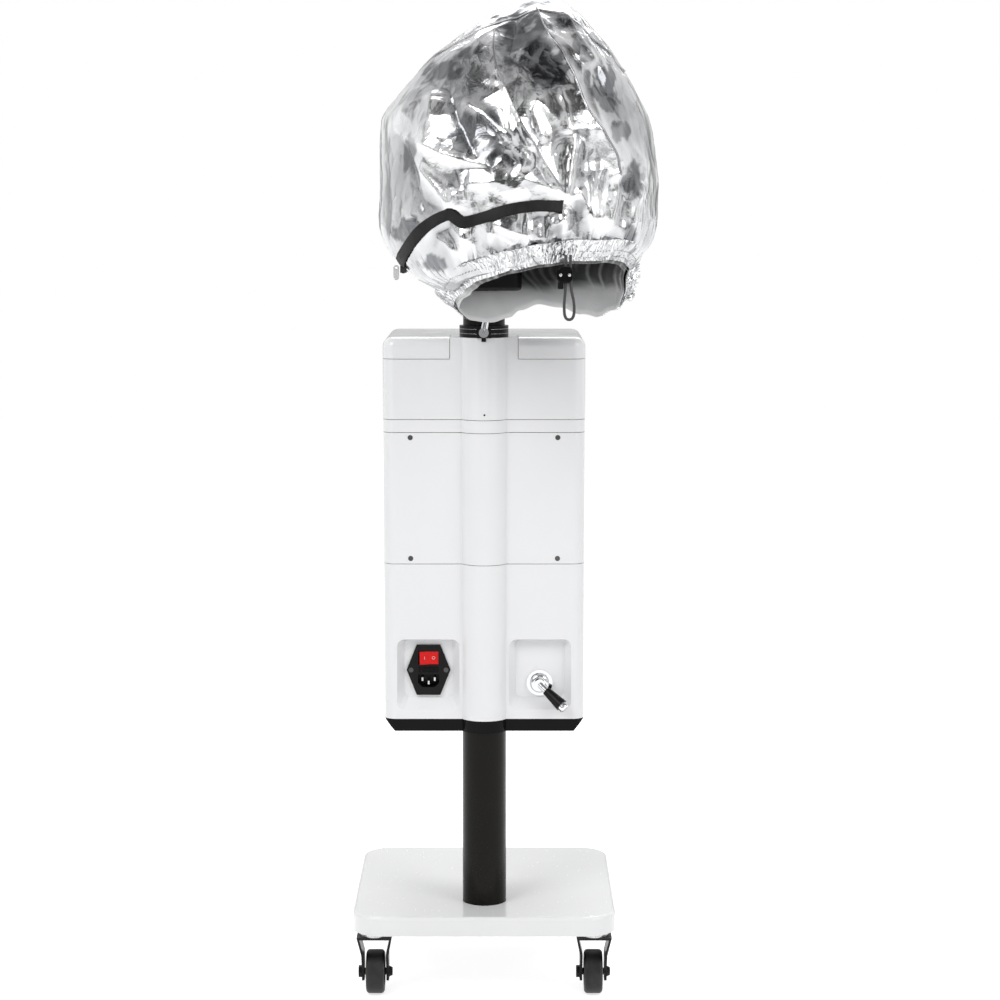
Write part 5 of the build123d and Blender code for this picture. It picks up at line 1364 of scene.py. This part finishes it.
    def cloth_point(self, turn: float, level: float, rim: float) -> tuple[Vector, float]:
        """A point of the crumpled outer cloth.

        Args:
            turn: Angle round the form.
            level: Height in millimetres.
            rim: The mouth's height at this angle.

        Returns:
            The point in millimetres, and how far it stands off the plain form.
        """
        place = self.wall_point(turn, level)
        above = level - rim
        near_zip, _ = self.distance((place.x, level), self.zip_line)
        calm = ease(near_zip, 3.5, 13.0) if math.sin(turn) < 0 else 1.0
        stand = self.relief(turn, level, place) * ease(above, 0, 45) * (1 - 0.75 * ease(level, 1090, 1118))
        stand = stand * (0.45 + 0.55 * calm) + (1 - calm) * 1.0
        stand += self.gathers(turn, above) * (0.3 + 0.7 * calm)
        edge = abs(math.cos(turn)) ** 6
        stand *= 1 - 0.45 * edge
        corner = math.hypot(place.x - self.tension[0], (level - self.tension[1]) * 0.8)
        if math.cos(turn) < 0:
            stand += 6.5 * math.exp(-((corner / 17.0) ** 1.3)) * ease(-math.sin(turn), -0.5, 0.1)
        tuck = 2.0 * (1 - ease(above, 0, 20))
        return place + self.outward(turn, level) * (stand - tuck), stand

    def shell(self, name: str, columns: int, rows: int, inset: float, drop: float) -> bpy.types.Object:
        """One closed-topped skin of the bonnet.

        Args:
            name: The piece's name.
            columns: Points round it.
            rows: Rows from mouth to crown.
            inset: 0 for the outer cloth, or how far inside the form a plain skin lies.
            drop: How far below the mouth's plane it ends.

        Returns:
            The mesh, with how bright it is in its fold attribute, which carries painted shade and highlight.
        """
        points: list[Vector] = []
        folds: list[float] = []
        turns = [math.tau * c / columns for c in range(columns)]
        rims = [self.rim_at(turn, drop) for turn in turns]
        top = self.sections[-1][0] - inset * 1.5
        for r in range(rows):
            share = 1 - (1 - r / (rows - 1)) ** 1.12
            for turn, rim in zip(turns, rims):
                level = rim + (top - rim) * share
                if inset:
                    place = self.lining_point(turn, level, rim, inset)
                    # the lining's fold attribute carries its painted shade
                    folds.append(self.shade(turn, level))
                else:
                    place, stand = self.cloth_point(turn, level, rim)
                    # the cloth's fold attribute carries painted shade, painted highlight and painted dark
                    # reflections
                    folds.append(self.tone(turn, place, stand))
                points.append(place * MM)
        last = points[-columns:]
        centre = sum(last, Vector()) / columns
        *rings, (_, peak) = self.crown_rings
        for share, lift in rings:
            points += [centre.lerp(point, share) + Vector((0, 0, lift)) for point in last]
        pole = len(points)
        points.append(centre + Vector((0, 0, peak)))
        # the crown's cap gets the painted shade level
        folds += [self.crown_painted_shade] * (len(points) - len(folds))
        faces = grid_faces(rows + len(rings), columns, True)
        faces += [(pole - columns + c, pole - columns + (c + 1) % columns, pole) for c in range(columns)]
        piece = mesh_piece(name, points, faces)
        fold = piece.data.attributes.new("fold", "FLOAT", "POINT")
        fold.data.foreach_set("value", folds)
        return piece

    def lining_point(self, turn: float, level: float, rim: float, inset: float) -> Vector:
        """A point of the plain skin inside the cloth, which follows its folds a little.

        Args:
            turn: Angle round the form.
            level: Height in millimetres.
            rim: The mouth's height at this angle.
            inset: How far inside the form the skin lies.

        Returns:
            The point in millimetres.
        """
        place = self.wall_point(turn, level, inset)
        stand = 0.3 * self.relief(turn, level, place) * ease(level - rim, 0, 30) - 1
        return place + self.outward(turn, level) * stand

    def rim_line(self, inset: float, drop: float, count: int = 360) -> list[Vector]:
        """Points round the mouth.

        Args:
            inset: How far inside the form.
            drop: How far below the mouth's plane.
            count: How many points.

        Returns:
            The points in metres.
        """
        turns = [-math.tau * n / count for n in range(count)]
        return [self.wall_point(turn, self.rim_at(turn, drop), inset) * MM for turn in turns]

    def near_wall(self, x: float, level: float, stand: float) -> Vector:
        """A point on the cloth that faces the rear of the steamer.

        Args:
            x: Across, in millimetres.
            level: Height in millimetres.
            stand: How far outside the cloth, in millimetres.

        Returns:
            The point in metres.
        """
        cx, _, width, _ = self.section(level)
        turn = -math.acos(min(0.995, max(-0.995, (x - cx) / width)))
        place, _ = self.cloth_point(turn, level, self.rim_at(turn))
        return (place + self.outward(turn, level) * stand) * MM

    def build(self) -> None:
        """Makes the cloth, the lining, the gathered hem, the piping and the stitches."""
        cloth = self.shell("bonnet_cloth", columns=400, rows=130, inset=0.0, drop=0.0)
        thicken(cloth, self.wall * MM)
        lining = self.shell("bonnet_lining", columns=180, rows=60, inset=self.lining_gap, drop=6.0)
        thicken(lining, self.lining_wall * MM)
        hem = self.build_hem()
        trim = [self.build_piping(), self.build_stitches()]
        place(cloth, SILVER_FOIL, "hood", "foil_fabric", "hood_fabric")
        place(lining, LINING_CLOTH, "hood", "lining_white", "hood_lining")
        place(hem, None, "hood", "foil_fabric", "hem_band")
        for piece in trim:
            place(piece, None, "hood", "foil_fabric")

    def build_hem(self) -> bpy.types.Object:
        """The elastic hem, a band of dense gathers round the mouth."""
        path = path_piece("hem_path", self.rim_line(inset=1.0, drop=3.0)[::-1], closed=True)
        size = {"Height": 0.021, "Lean": 0.013, "Pitch": 0.0058, "Depth": 0.003}
        return gather_pattern().bake(path, "gathered_hem", SILVER_FOIL, **size)

    def seam_lines(self) -> list[list[Vector]]:
        """The piped seams: two down the rear-facing wall and one round the crown piece."""
        seams = [[self.near_wall(x, z, 0.5) for x, z in self.smooth(line)] for line, _, _ in self.folds[:2]]
        crown = []
        steps = 80
        for n in range(steps + 1):
            turn = math.pi + math.pi * n / steps
            level = 1040 + 58 * math.sin(math.pi * n / steps) ** 0.8
            point, _ = self.cloth_point(turn, level, self.rim_at(turn))
            crown.append((point + self.outward(turn, level) * 0.5) * MM)
        return [*seams, crown]

    @staticmethod
    def smooth(line: Sequence[tuple[float, float]], steps: int = 8) -> list[tuple[float, float]]:
        """A finer line through the given points.

        Args:
            line: The points.
            steps: Points on each stretch.

        Returns:
            The finer line.
        """
        ends = [Vector(point) for point in (line[0], *line, line[-1])]
        finer = []
        for p, q, r, s in zip(ends, ends[1:], ends[2:], ends[3:]):
            bend, swing = 2 * p - 5 * q + 4 * r - s, 3 * q - p - 3 * r + s
            for t in (n / steps for n in range(steps)):
                finer.append(tuple(0.5 * (2 * q + (r - p) * t + bend * t**2 + swing * t**3)))
        return [*finer, tuple(line[-1])]

    def build_piping(self) -> bpy.types.Object:
        """Thin piping on the seams."""
        path = path_piece("piping_path", *self.seam_lines())
        return tube_pattern().bake(path, "seam_piping", PIPING_FOIL, Radius=0.0009, Spacing=0.003, Sides=8)

    def build_stitches(self) -> bpy.types.Object:
        """Two rows of stitches that hold the elastic in the hem."""
        rows = [self.rim_line(inset, drop, 240) for inset, drop in ((1.0, -7.0), (2.0, 5.0))]
        path = path_piece("stitch_path", *rows)
        size = {"Pitch": 0.0042, "Length": 0.0026, "Radius": 0.00035}
        return stitch_pattern().bake(path, "hem_stitches", STITCH_GREY, **size)


@dataclass
class BonnetZip:
    """The black zip across the rear-facing wall: tape, coil teeth and slider."""

    bonnet: Bonnet
    stand: float = 1.3
    tape_wall: float = 0.9
    tooth_pitch: float = 1.5

    def build(self) -> None:
        """Makes the tape, its teeth and the slider."""
        line = Bonnet.smooth(self.bonnet.zip_line, 7)
        place(self.build_tape(line), BLACK_WEBBING, "hood", "zip_black", "hood_zip")
        place(self.build_teeth(line), None, "hood", "zip_black")
        place(self.build_slider(), ZIP_NYLON, "hood", "zip_black")
        dress(CLEAR_PULL, "zip_pull")

    def build_tape(self, line: Sequence[tuple[float, float]]) -> bpy.types.Object:
        """The woven tape, which lies on the cloth.

        Args:
            line: Its middle line, (across, height).

        Returns:
            The tape.
        """
        across = 7
        half = self.bonnet.zip_width / 2
        points = []
        for n, (x, z) in enumerate(line):
            before, after = line[max(n - 1, 0)], line[min(n + 1, len(line) - 1)]
            run = math.hypot(after[0] - before[0], after[1] - before[1]) or 1.0
            side = (-(after[1] - before[1]) / run, (after[0] - before[0]) / run)
            for k in range(across):
                reach = half * (2 * k / (across - 1) - 1)
                swell = self.stand + 0.6 * math.cos(math.pi / 2 * reach / half)
                points.append(self.bonnet.near_wall(x + side[0] * reach, z + side[1] * reach, swell))
        tape = mesh_piece("zip_tape", points, grid_faces(len(line), across, False))
        thicken(tape, self.tape_wall * MM)
        return tape

    def build_teeth(self, line: Sequence[tuple[float, float]]) -> bpy.types.Object:
        """The coil of teeth along the middle of the tape.

        Args:
            line: The tape's middle line.

        Returns:
            The teeth.
        """
        spots, spins = [], []
        for (ax, az), (bx, bz) in zip(line, line[1:]):
            run = math.hypot(bx - ax, bz - az)
            lean = math.atan2(bz - az, bx - ax)
            count = max(1, round(run / self.tooth_pitch))
            for t in (n / count for n in range(count)):
                spots.append(self.bonnet.near_wall(ax + (bx - ax) * t, az + (bz - az) * t, self.stand + 0.7))
                spins.append((0.0, -lean, 0.0))
        path = spot_piece("tooth_places", spots, spins)
        return rib_pattern().bake(path, "zip_teeth", ZIP_NYLON, Width=0.0008, Depth=0.0009, Height=0.0026)

    def build_slider(self) -> bpy.types.Object:
        """The slider at the tape's lower end, above the pull."""
        work = bmesh.new()
        x, z = self.bonnet.zip_line[0]
        centre = self.bonnet.near_wall(x, z + 3, self.stand + 1.6)
        for lift, wide, tall, deep in ((0, 7.0, 8.0, 2.0), (-1.5, 3.0, 6.0, 4.6)):
            made = bmesh.ops.create_cube(work, size=1.0)["verts"]
            bmesh.ops.scale(work, vec=Vector((wide, deep, tall)) * MM, verts=made)
            bmesh.ops.translate(work, vec=centre + Vector((0, -0.5, lift)) * MM, verts=made)
        mesh = bpy.data.meshes.new("zip_slider")
        work.to_mesh(mesh)
        work.free()
        piece = link(bpy.data.objects.new("zip_slider", mesh))
        soften(piece, 0.0007)
        return piece


def soften(piece: bpy.types.Object, width: float, segments: int = 3) -> None:
    """Rounds a hard piece's edges.

    Args:
        piece: The mesh object.
        width: The bevel's width in metres.
        segments: Its segments.
    """
    edge = piece.modifiers.new("edge", "BEVEL")
    edge.width = width
    edge.segments = segments
    edge.limit_method = "ANGLE"
    edge.harden_normals = False
    piece.data.polygons.foreach_set("use_smooth", [True] * len(piece.data.polygons))
    turn = piece.modifiers.new("shade", "WEIGHTED_NORMAL")
    turn.keep_sharp = True


@dataclass
class Drawcord:
    """The thin braided loop that hangs from the hem through its lock."""

    route: tuple[Point, ...] = (
        (84.8, -328, 850), (84.8, -332, 844), (84.8, -332, 816), (83, -332, 800), (84, -332, 785),
        (93, -332, 785), (94, -332, 801), (89.6, -332, 817), (89.6, -332, 844), (89.6, -328, 850),
    )
    diameter: float = 3.0
    length: float = 138.3

    def build(self) -> None:
        """Makes the cord and dresses its lock."""
        line = bpy.data.curves.new("drawcord_loop", "CURVE")
        line.dimensions = "3D"
        spline = line.splines.new("NURBS")
        spline.points.add(len(self.route) - 1)
        for point, (x, y, z) in zip(spline.points, self.route):
            point.co = (x * MM, y * MM, z * MM, 1.0)
        spline.order_u = 3
        spline.use_endpoint_u = True
        spline.resolution_u = 12
        line.bevel_depth = self.diameter / 2 * MM
        line.bevel_resolution = 5
        line.use_fill_caps = True
        cord = link(bpy.data.objects.new("drawcord_loop", line))
        place(cord, CORD_BRAID, "hood", "cord_black", "drawcord")
        dress(BLACK_GLOSS, "cord_lock")
        dress(BLACK_SATIN, "cord_lock_plunger")
        place(self.build_rivets(), CHROME, "hood", "cord_black")

    def build_rivets(self) -> bpy.types.Object:
        """Two bright rivets on the face of the cord lock."""
        low, high = corners("cord_lock")
        middle = (low.z + high.z) / 2
        across = [low.x + (high.x - low.x) * share for share in (0.22, 0.78)]
        spots = [Vector((x, low.y - 0.0002, middle)) for x in across]
        return discs("lock_rivets", spots, 0.0016, 0.0012, REARWARD)


@dataclass
class SteamHead:
    """The black steam head inside the bonnet, its outlet vanes and the frame's straps."""

    vane_count: int = 13
    vane_lean: float = math.radians(8.0)
    strap_turns: tuple[float, ...] = (3.75, 5.2, 0.9, 2.4)
    strap_steps: int = 24
    strap_step: float = 0.006

    def build(self) -> None:
        """Dresses the head and adds the vanes and the straps."""
        dress(BLACK_SATIN, "steam_head")
        dress(BLACK_GLOSS, "steam_nozzle")
        dress(ZINC_STEEL, "hood_frame")
        place(self.build_vanes(), None, "hood", "black_plastic")
        place(self.build_straps(), None, "hood", "zip_black")

    def build_vanes(self) -> bpy.types.Object:
        """The upright vanes over the outlet's face."""
        low, high = corners("steam_nozzle")
        middle = (low.z + high.z) / 2
        shares = [(n + 0.5) / self.vane_count for n in range(self.vane_count)]
        spots = [Vector((low.x + (high.x - low.x) * share, low.y + 0.0006, middle)) for share in shares]
        spins = [(0.0, 0.0, self.vane_lean)] * self.vane_count
        path = spot_piece("vane_places", spots, spins)
        size = {"Width": 0.0014, "Depth": 0.0018, "Height": (high.z - low.z) * 0.7}
        return rib_pattern().bake(path, "outlet_vanes", BLACK_SATIN, **size)

    def build_straps(self) -> bpy.types.Object:
        """Short stitched keepers that tie the lining to the wire ring."""
        low, high = corners("hood_frame")
        centre = (low + high) / 2
        reach = min(high.x - low.x, high.y - low.y) / 2 - 0.002
        spots, spins = [], []
        for turn in self.strap_turns:
            for n in range(self.strap_steps):
                angle = turn + (n - self.strap_steps / 2) * self.strap_step
                x, y = centre.x + reach * math.cos(angle), centre.y + reach * math.sin(angle)
                spots.append(Vector((x, y, low.z + 0.002)))
                spins.append((0.0, 0.0, angle))
        path = spot_piece("keeper_places", spots, spins)
        size = {"Width": 0.0062, "Depth": 0.0009, "Height": 0.0062}
        return rib_pattern().bake(path, "frame_keepers", BLACK_WEBBING, **size)


@dataclass
class Housing:
    """The glossy white cabinet on the column, its lid, tray and screws."""

    white_nodes: tuple[str, ...] = (
        "rear_shell_lower", "service_cover", "front_shell", "middle_shelf", "upper_shell", "tank_lid",
    )
    dot_radius: float = 0.0011
    dot_level: float = 0.667
    pad_radius: float = 0.005

    def build(self) -> None:
        """Dresses the cabinet and adds the small dot on its ridge and the lid's pads."""
        dress(WHITE_ABS, *self.white_nodes)
        dress(BLACK_GLOSS, "bottom_tray")
        dress(ZINC_STEEL, "inner_frame")
        dress(STAINLESS, "lid_hinge_pins")
        dress(DARK_SCREW, "housing_screws")
        place(self.build_dot(), BLACK_SATIN, "root", "black_plastic")
        place(self.build_pads(), SILICONE, "tank_lid", "silicone")

    def build_dot(self) -> bpy.types.Object:
        """A tiny plugged moulding point on the ridge below the shelf."""
        face = min(corners(node)[0].y for node in ("upper_shell", "service_cover"))
        spot = Vector((0.0006, face - 0.0001, self.dot_level))
        return discs("ridge_dot", [spot], self.dot_radius, 0.0005, REARWARD)

    def build_pads(self) -> bpy.types.Object:
        """Four soft pads under the lid that stop it rattling."""
        low, high = corners("tank_lid")
        sides, ends = (low.x + 0.022, high.x - 0.022), (low.y + 0.05, high.y - 0.03)
        spots = [Vector((x, y, low.z - 0.0004)) for x in sides for y in ends]
        return discs("lid_pads", spots, self.pad_radius, 0.001, UPWARD)


def discs(
    name: str, places: Sequence[Vector], radius: float, height: float, axis: Vector
) -> bpy.types.Object:
    """Low domed discs.

    Args:
        name: The piece's name.
        places: Their centres.
        radius: Their radius.
        height: Their height.
        axis: The direction that they face.

    Returns:
        One mesh of them all.
    """
    turn = UPWARD.rotation_difference(axis)
    steps, points, faces = 24, [], []
    profile = ((1.0, -0.5), (1.0, 0.2), (0.93, 0.4), (0.8, 0.5), (0.4, 0.56))
    side = len(profile) * steps
    for centre in places:
        base = len(points)
        for share, lift in profile:
            ring = circle(UPWARD * (lift * height), radius * share, steps, ACROSS, FORWARD)
            points += [centre + turn @ local for local in ring[:-1]]
        faces += [tuple(base + n for n in face) for face in grid_faces(len(profile), steps, True)]
        faces.append(tuple(base + n for n in reversed(range(steps))))
        points.append(centre + turn @ Vector((0, 0, 0.58 * height)))
        top = base + side - steps
        faces += [(top + n, top + (n + 1) % steps, base + side) for n in range(steps)]
    return mesh_piece(name, points, faces)


@dataclass
class ControlPanel:
    """The client side's panel: smoked window with a dim reading, and three buttons."""

    digit_height: float = 0.017
    digit_gap: float = 0.015
    bar: float = 0.0016
    reading: tuple[str, ...] = ("abcdg", "abcdef")
    buttons: tuple[str, ...] = ("button_power", "button_timer", "button_mode")

    def build(self) -> None:
        """Dresses the panel and adds the digits and button rings."""
        dress(BLACK_GLOSS, "control_panel")
        dress(SMOKED_WINDOW, "display_window")
        dress(BOARD_GREEN, "circuit_boards")
        dress(RED_ROCKER, "button_power")
        dress(WHITE_ABS, "button_timer", "button_mode")
        place(self.build_digits(), None, "root", "red_rocker")
        for button in self.buttons:
            place(self.build_ring(button), ZINC_STEEL, button, "steel")

    def build_digits(self) -> bpy.types.Object:
        """Seven-bar digits behind the window."""
        low, high = corners("display_window")
        centre = (low + high) / 2
        half, tall = self.digit_height * 0.27, self.digit_height / 2
        flat, upright = (0.0, math.pi / 2, 0.0), (0.0, 0.0, 0.0)
        bars = {
            "a": (0, tall, flat),
            "b": (-half, tall / 2, upright),
            "c": (-half, -tall / 2, upright),
            "d": (0, -tall, flat),
            "e": (half, -tall / 2, upright),
            "f": (half, tall / 2, upright),
            "g": (0, 0, flat),
        }
        spots, spins = [], []
        for position, lit in enumerate(self.reading):
            across = centre.x + self.digit_gap / 2 - position * self.digit_gap
            for key in lit:
                side, lift, spin = bars[key]
                spots.append(Vector((across + side, high.y + 0.0002, centre.z + lift)))
                spins.append(spin)
        path = spot_piece("digit_places", spots, spins)
        size = {"Width": self.bar, "Depth": 0.0003, "Height": self.digit_height * 0.42}
        return rib_pattern().bake(path, "display_digits", LIT_SEGMENT, **size)

    def build_ring(self, node: str) -> bpy.types.Object:
        """A thin bright ring round a button's face.

        Args:
            node: The button.

        Returns:
            The ring.
        """
        low, high = corners(node)
        centre = Vector(((low.x + high.x) / 2, high.y, (low.z + high.z) / 2))
        line = circle(centre, (high.x - low.x) / 2 * 0.6, 48, ACROSS, UPWARD)
        path = path_piece("ring_path", line[:-1], closed=True)
        return tube_pattern().bake(path, f"{node}_ring", ZINC_STEEL, Radius=0.0004, Spacing=0.001, Sides=8)


@dataclass
class WaterSystem:
    """Tank, boiler, hoses and riser inside the cabinet and the column."""

    def build(self) -> None:
        """Dresses the parts that carry water and steam."""
        dress(CLEAR_TANK, "water_tank")
        dress(STAINLESS, "boiler_vessel", "boiler_cap", "steam_riser")
        dress(COPPER, "heating_element")
        dress(SILICONE, "water_hoses")


@dataclass
class PowerInlet:
    """The mains inlet in the left recess: switch, socket and fuse drawer."""

    mark_height: float = 0.0035
    mark_radius: float = 0.0016

    def build(self) -> None:
        """Dresses the inlet and adds the switch's two marks."""
        dress(BLACK_SATIN, "inlet_housing")
        dress(STAINLESS, "inlet_pins")
        dress(RED_ROCKER, "rocker_switch")
        dress(BLACK_GLOSS, "fuse_drawer")
        place(self.build_marks(), MARK_WHITE, "rocker_switch", "red_rocker")

    def build_marks(self) -> bpy.types.Object:
        """A bar on one half of the switch and a ring on the other, as every mains switch has."""
        low, high = corners("rocker_switch")
        middle = (low.z + high.z) / 2
        left, right = (Vector((low.x + (high.x - low.x) * share, low.y, middle)) for share in (0.26, 0.74))
        reach = UPWARD * (self.mark_height / 2)
        lines = [[left - reach, left + reach], circle(right, self.mark_radius, 24, ACROSS, UPWARD)]
        laid = [[drop_on("rocker_switch", point) for point in line] for line in lines]
        path = path_piece("mark_path", *laid)
        return tube_pattern().bake(path, "switch_marks", MARK_WHITE, Radius=0.00022, Spacing=0.0004, Sides=6)


def drop_on(node: str, point: Vector) -> Vector:
    """Lays a point on the face of a node that looks to the rear of the steamer.

    Args:
        node: The node's name.
        point: A point near its face.

    Returns:
        The point on the face, or the given one where the ray misses.
    """
    hit, spot, _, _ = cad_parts[node].ray_cast(point + REARWARD * 0.02, -REARWARD)
    return spot if hit else point


@dataclass
class Drain:
    """The drain tap in the right recess."""

    def build(self) -> None:
        """Dresses the valve, its lever and the grip."""
        dress(CHROME, "drain_valve", "drain_lever")
        dress(BLACK_SATIN, "drain_grip")


@dataclass
class Column:
    """The black column, the pole that rises from it, and the clamp."""

    line_count: int = 3

    def build(self) -> None:
        """Dresses the column and adds the collar's bright lines."""
        dress(COLUMN_LACQUER, "column_tube", "upper_pole")
        dress(BLACK_SATIN, "top_collar")
        dress(CHROME, "clamp_lever")
        place(self.build_lines(), None, "root", "steel")

    def build_lines(self) -> bpy.types.Object:
        """Thin turned lines round the collar."""
        low, high = corners("top_collar")
        centre = sum(corners("upper_pole"), Vector()) / 2
        lines = []
        for n in range(self.line_count):
            centre.z = low.z + (high.z - low.z) * (0.2 + 0.3 * n)
            lines.append(circle(centre, (high.x - low.x) / 2, 96, ACROSS, FORWARD))
        path = path_piece("line_path", *lines)
        return tube_pattern().bake(path, "collar_lines", ZINC_STEEL, Radius=0.00022, Spacing=0.0015, Sides=6)


@dataclass
class Base:
    """The square white base with its chassis and four castors."""

    castors: tuple[str, ...] = ("rear_left", "front_left", "rear_right", "front_right")
    tread_count: int = 56
    tread_side: float = 0.0052

    def build(self) -> None:
        """Dresses the base and its castors."""
        dress(WHITE_PAINT, "base_cover")
        dress(ZINC_STEEL, "base_chassis", "base_fasteners", "castor_stems")
        for castor in self.castors:
            dress(BLACK_SATIN, f"castor_{castor}_fork")
            dress(HUB_WHITE, f"castor_{castor}_hub")
            dress(TYRE_RUBBER, f"castor_{castor}_tyre")
            place(self.build_tread(castor), None, f"castor_{castor}_wheel", "tyre")

    def build_tread(self, castor: str) -> bpy.types.Object:
        """The short grip bars on a tyre.

        Args:
            castor: Which castor.

        Returns:
            The tread.
        """
        low, high = corners(f"castor_{castor}_tyre")
        centre, radius = (low + high) / 2, (high.z - low.z) / 2 - 0.0006
        spots, spins = [], []
        for angle in (math.tau * n / self.tread_count for n in range(self.tread_count)):
            for side in (-self.tread_side, self.tread_side):
                spots.append(centre + Vector((side, radius * math.cos(angle), radius * math.sin(angle))))
                spins.append((angle, 0.0, 0.0))
        path = spot_piece("tread_places", spots, spins)
        name = f"castor_{castor}_tread"
        return rib_pattern().bake(path, name, TYRE_RUBBER, Width=0.0052, Depth=0.0009, Height=0.0012)


def main() -> None:
    """Builds the studio and every sub-assembly in order."""
    logging.basicConfig(level=logging.INFO, format="%(name)s: %(message)s")
    scene = bpy.context.scene
    scene.view_settings.view_transform = "Standard"
    bonnet = Bonnet()
    for part in (
        Studio(), Drawcord(), bonnet, BonnetZip(bonnet), SteamHead(), Column(), Housing(), ControlPanel(),
        WaterSystem(), PowerInlet(), Drain(), Base(),
    ):
        part.build()
        LOG.info("%s done", type(part).__name__)


if __name__ == "__main__":
    main()
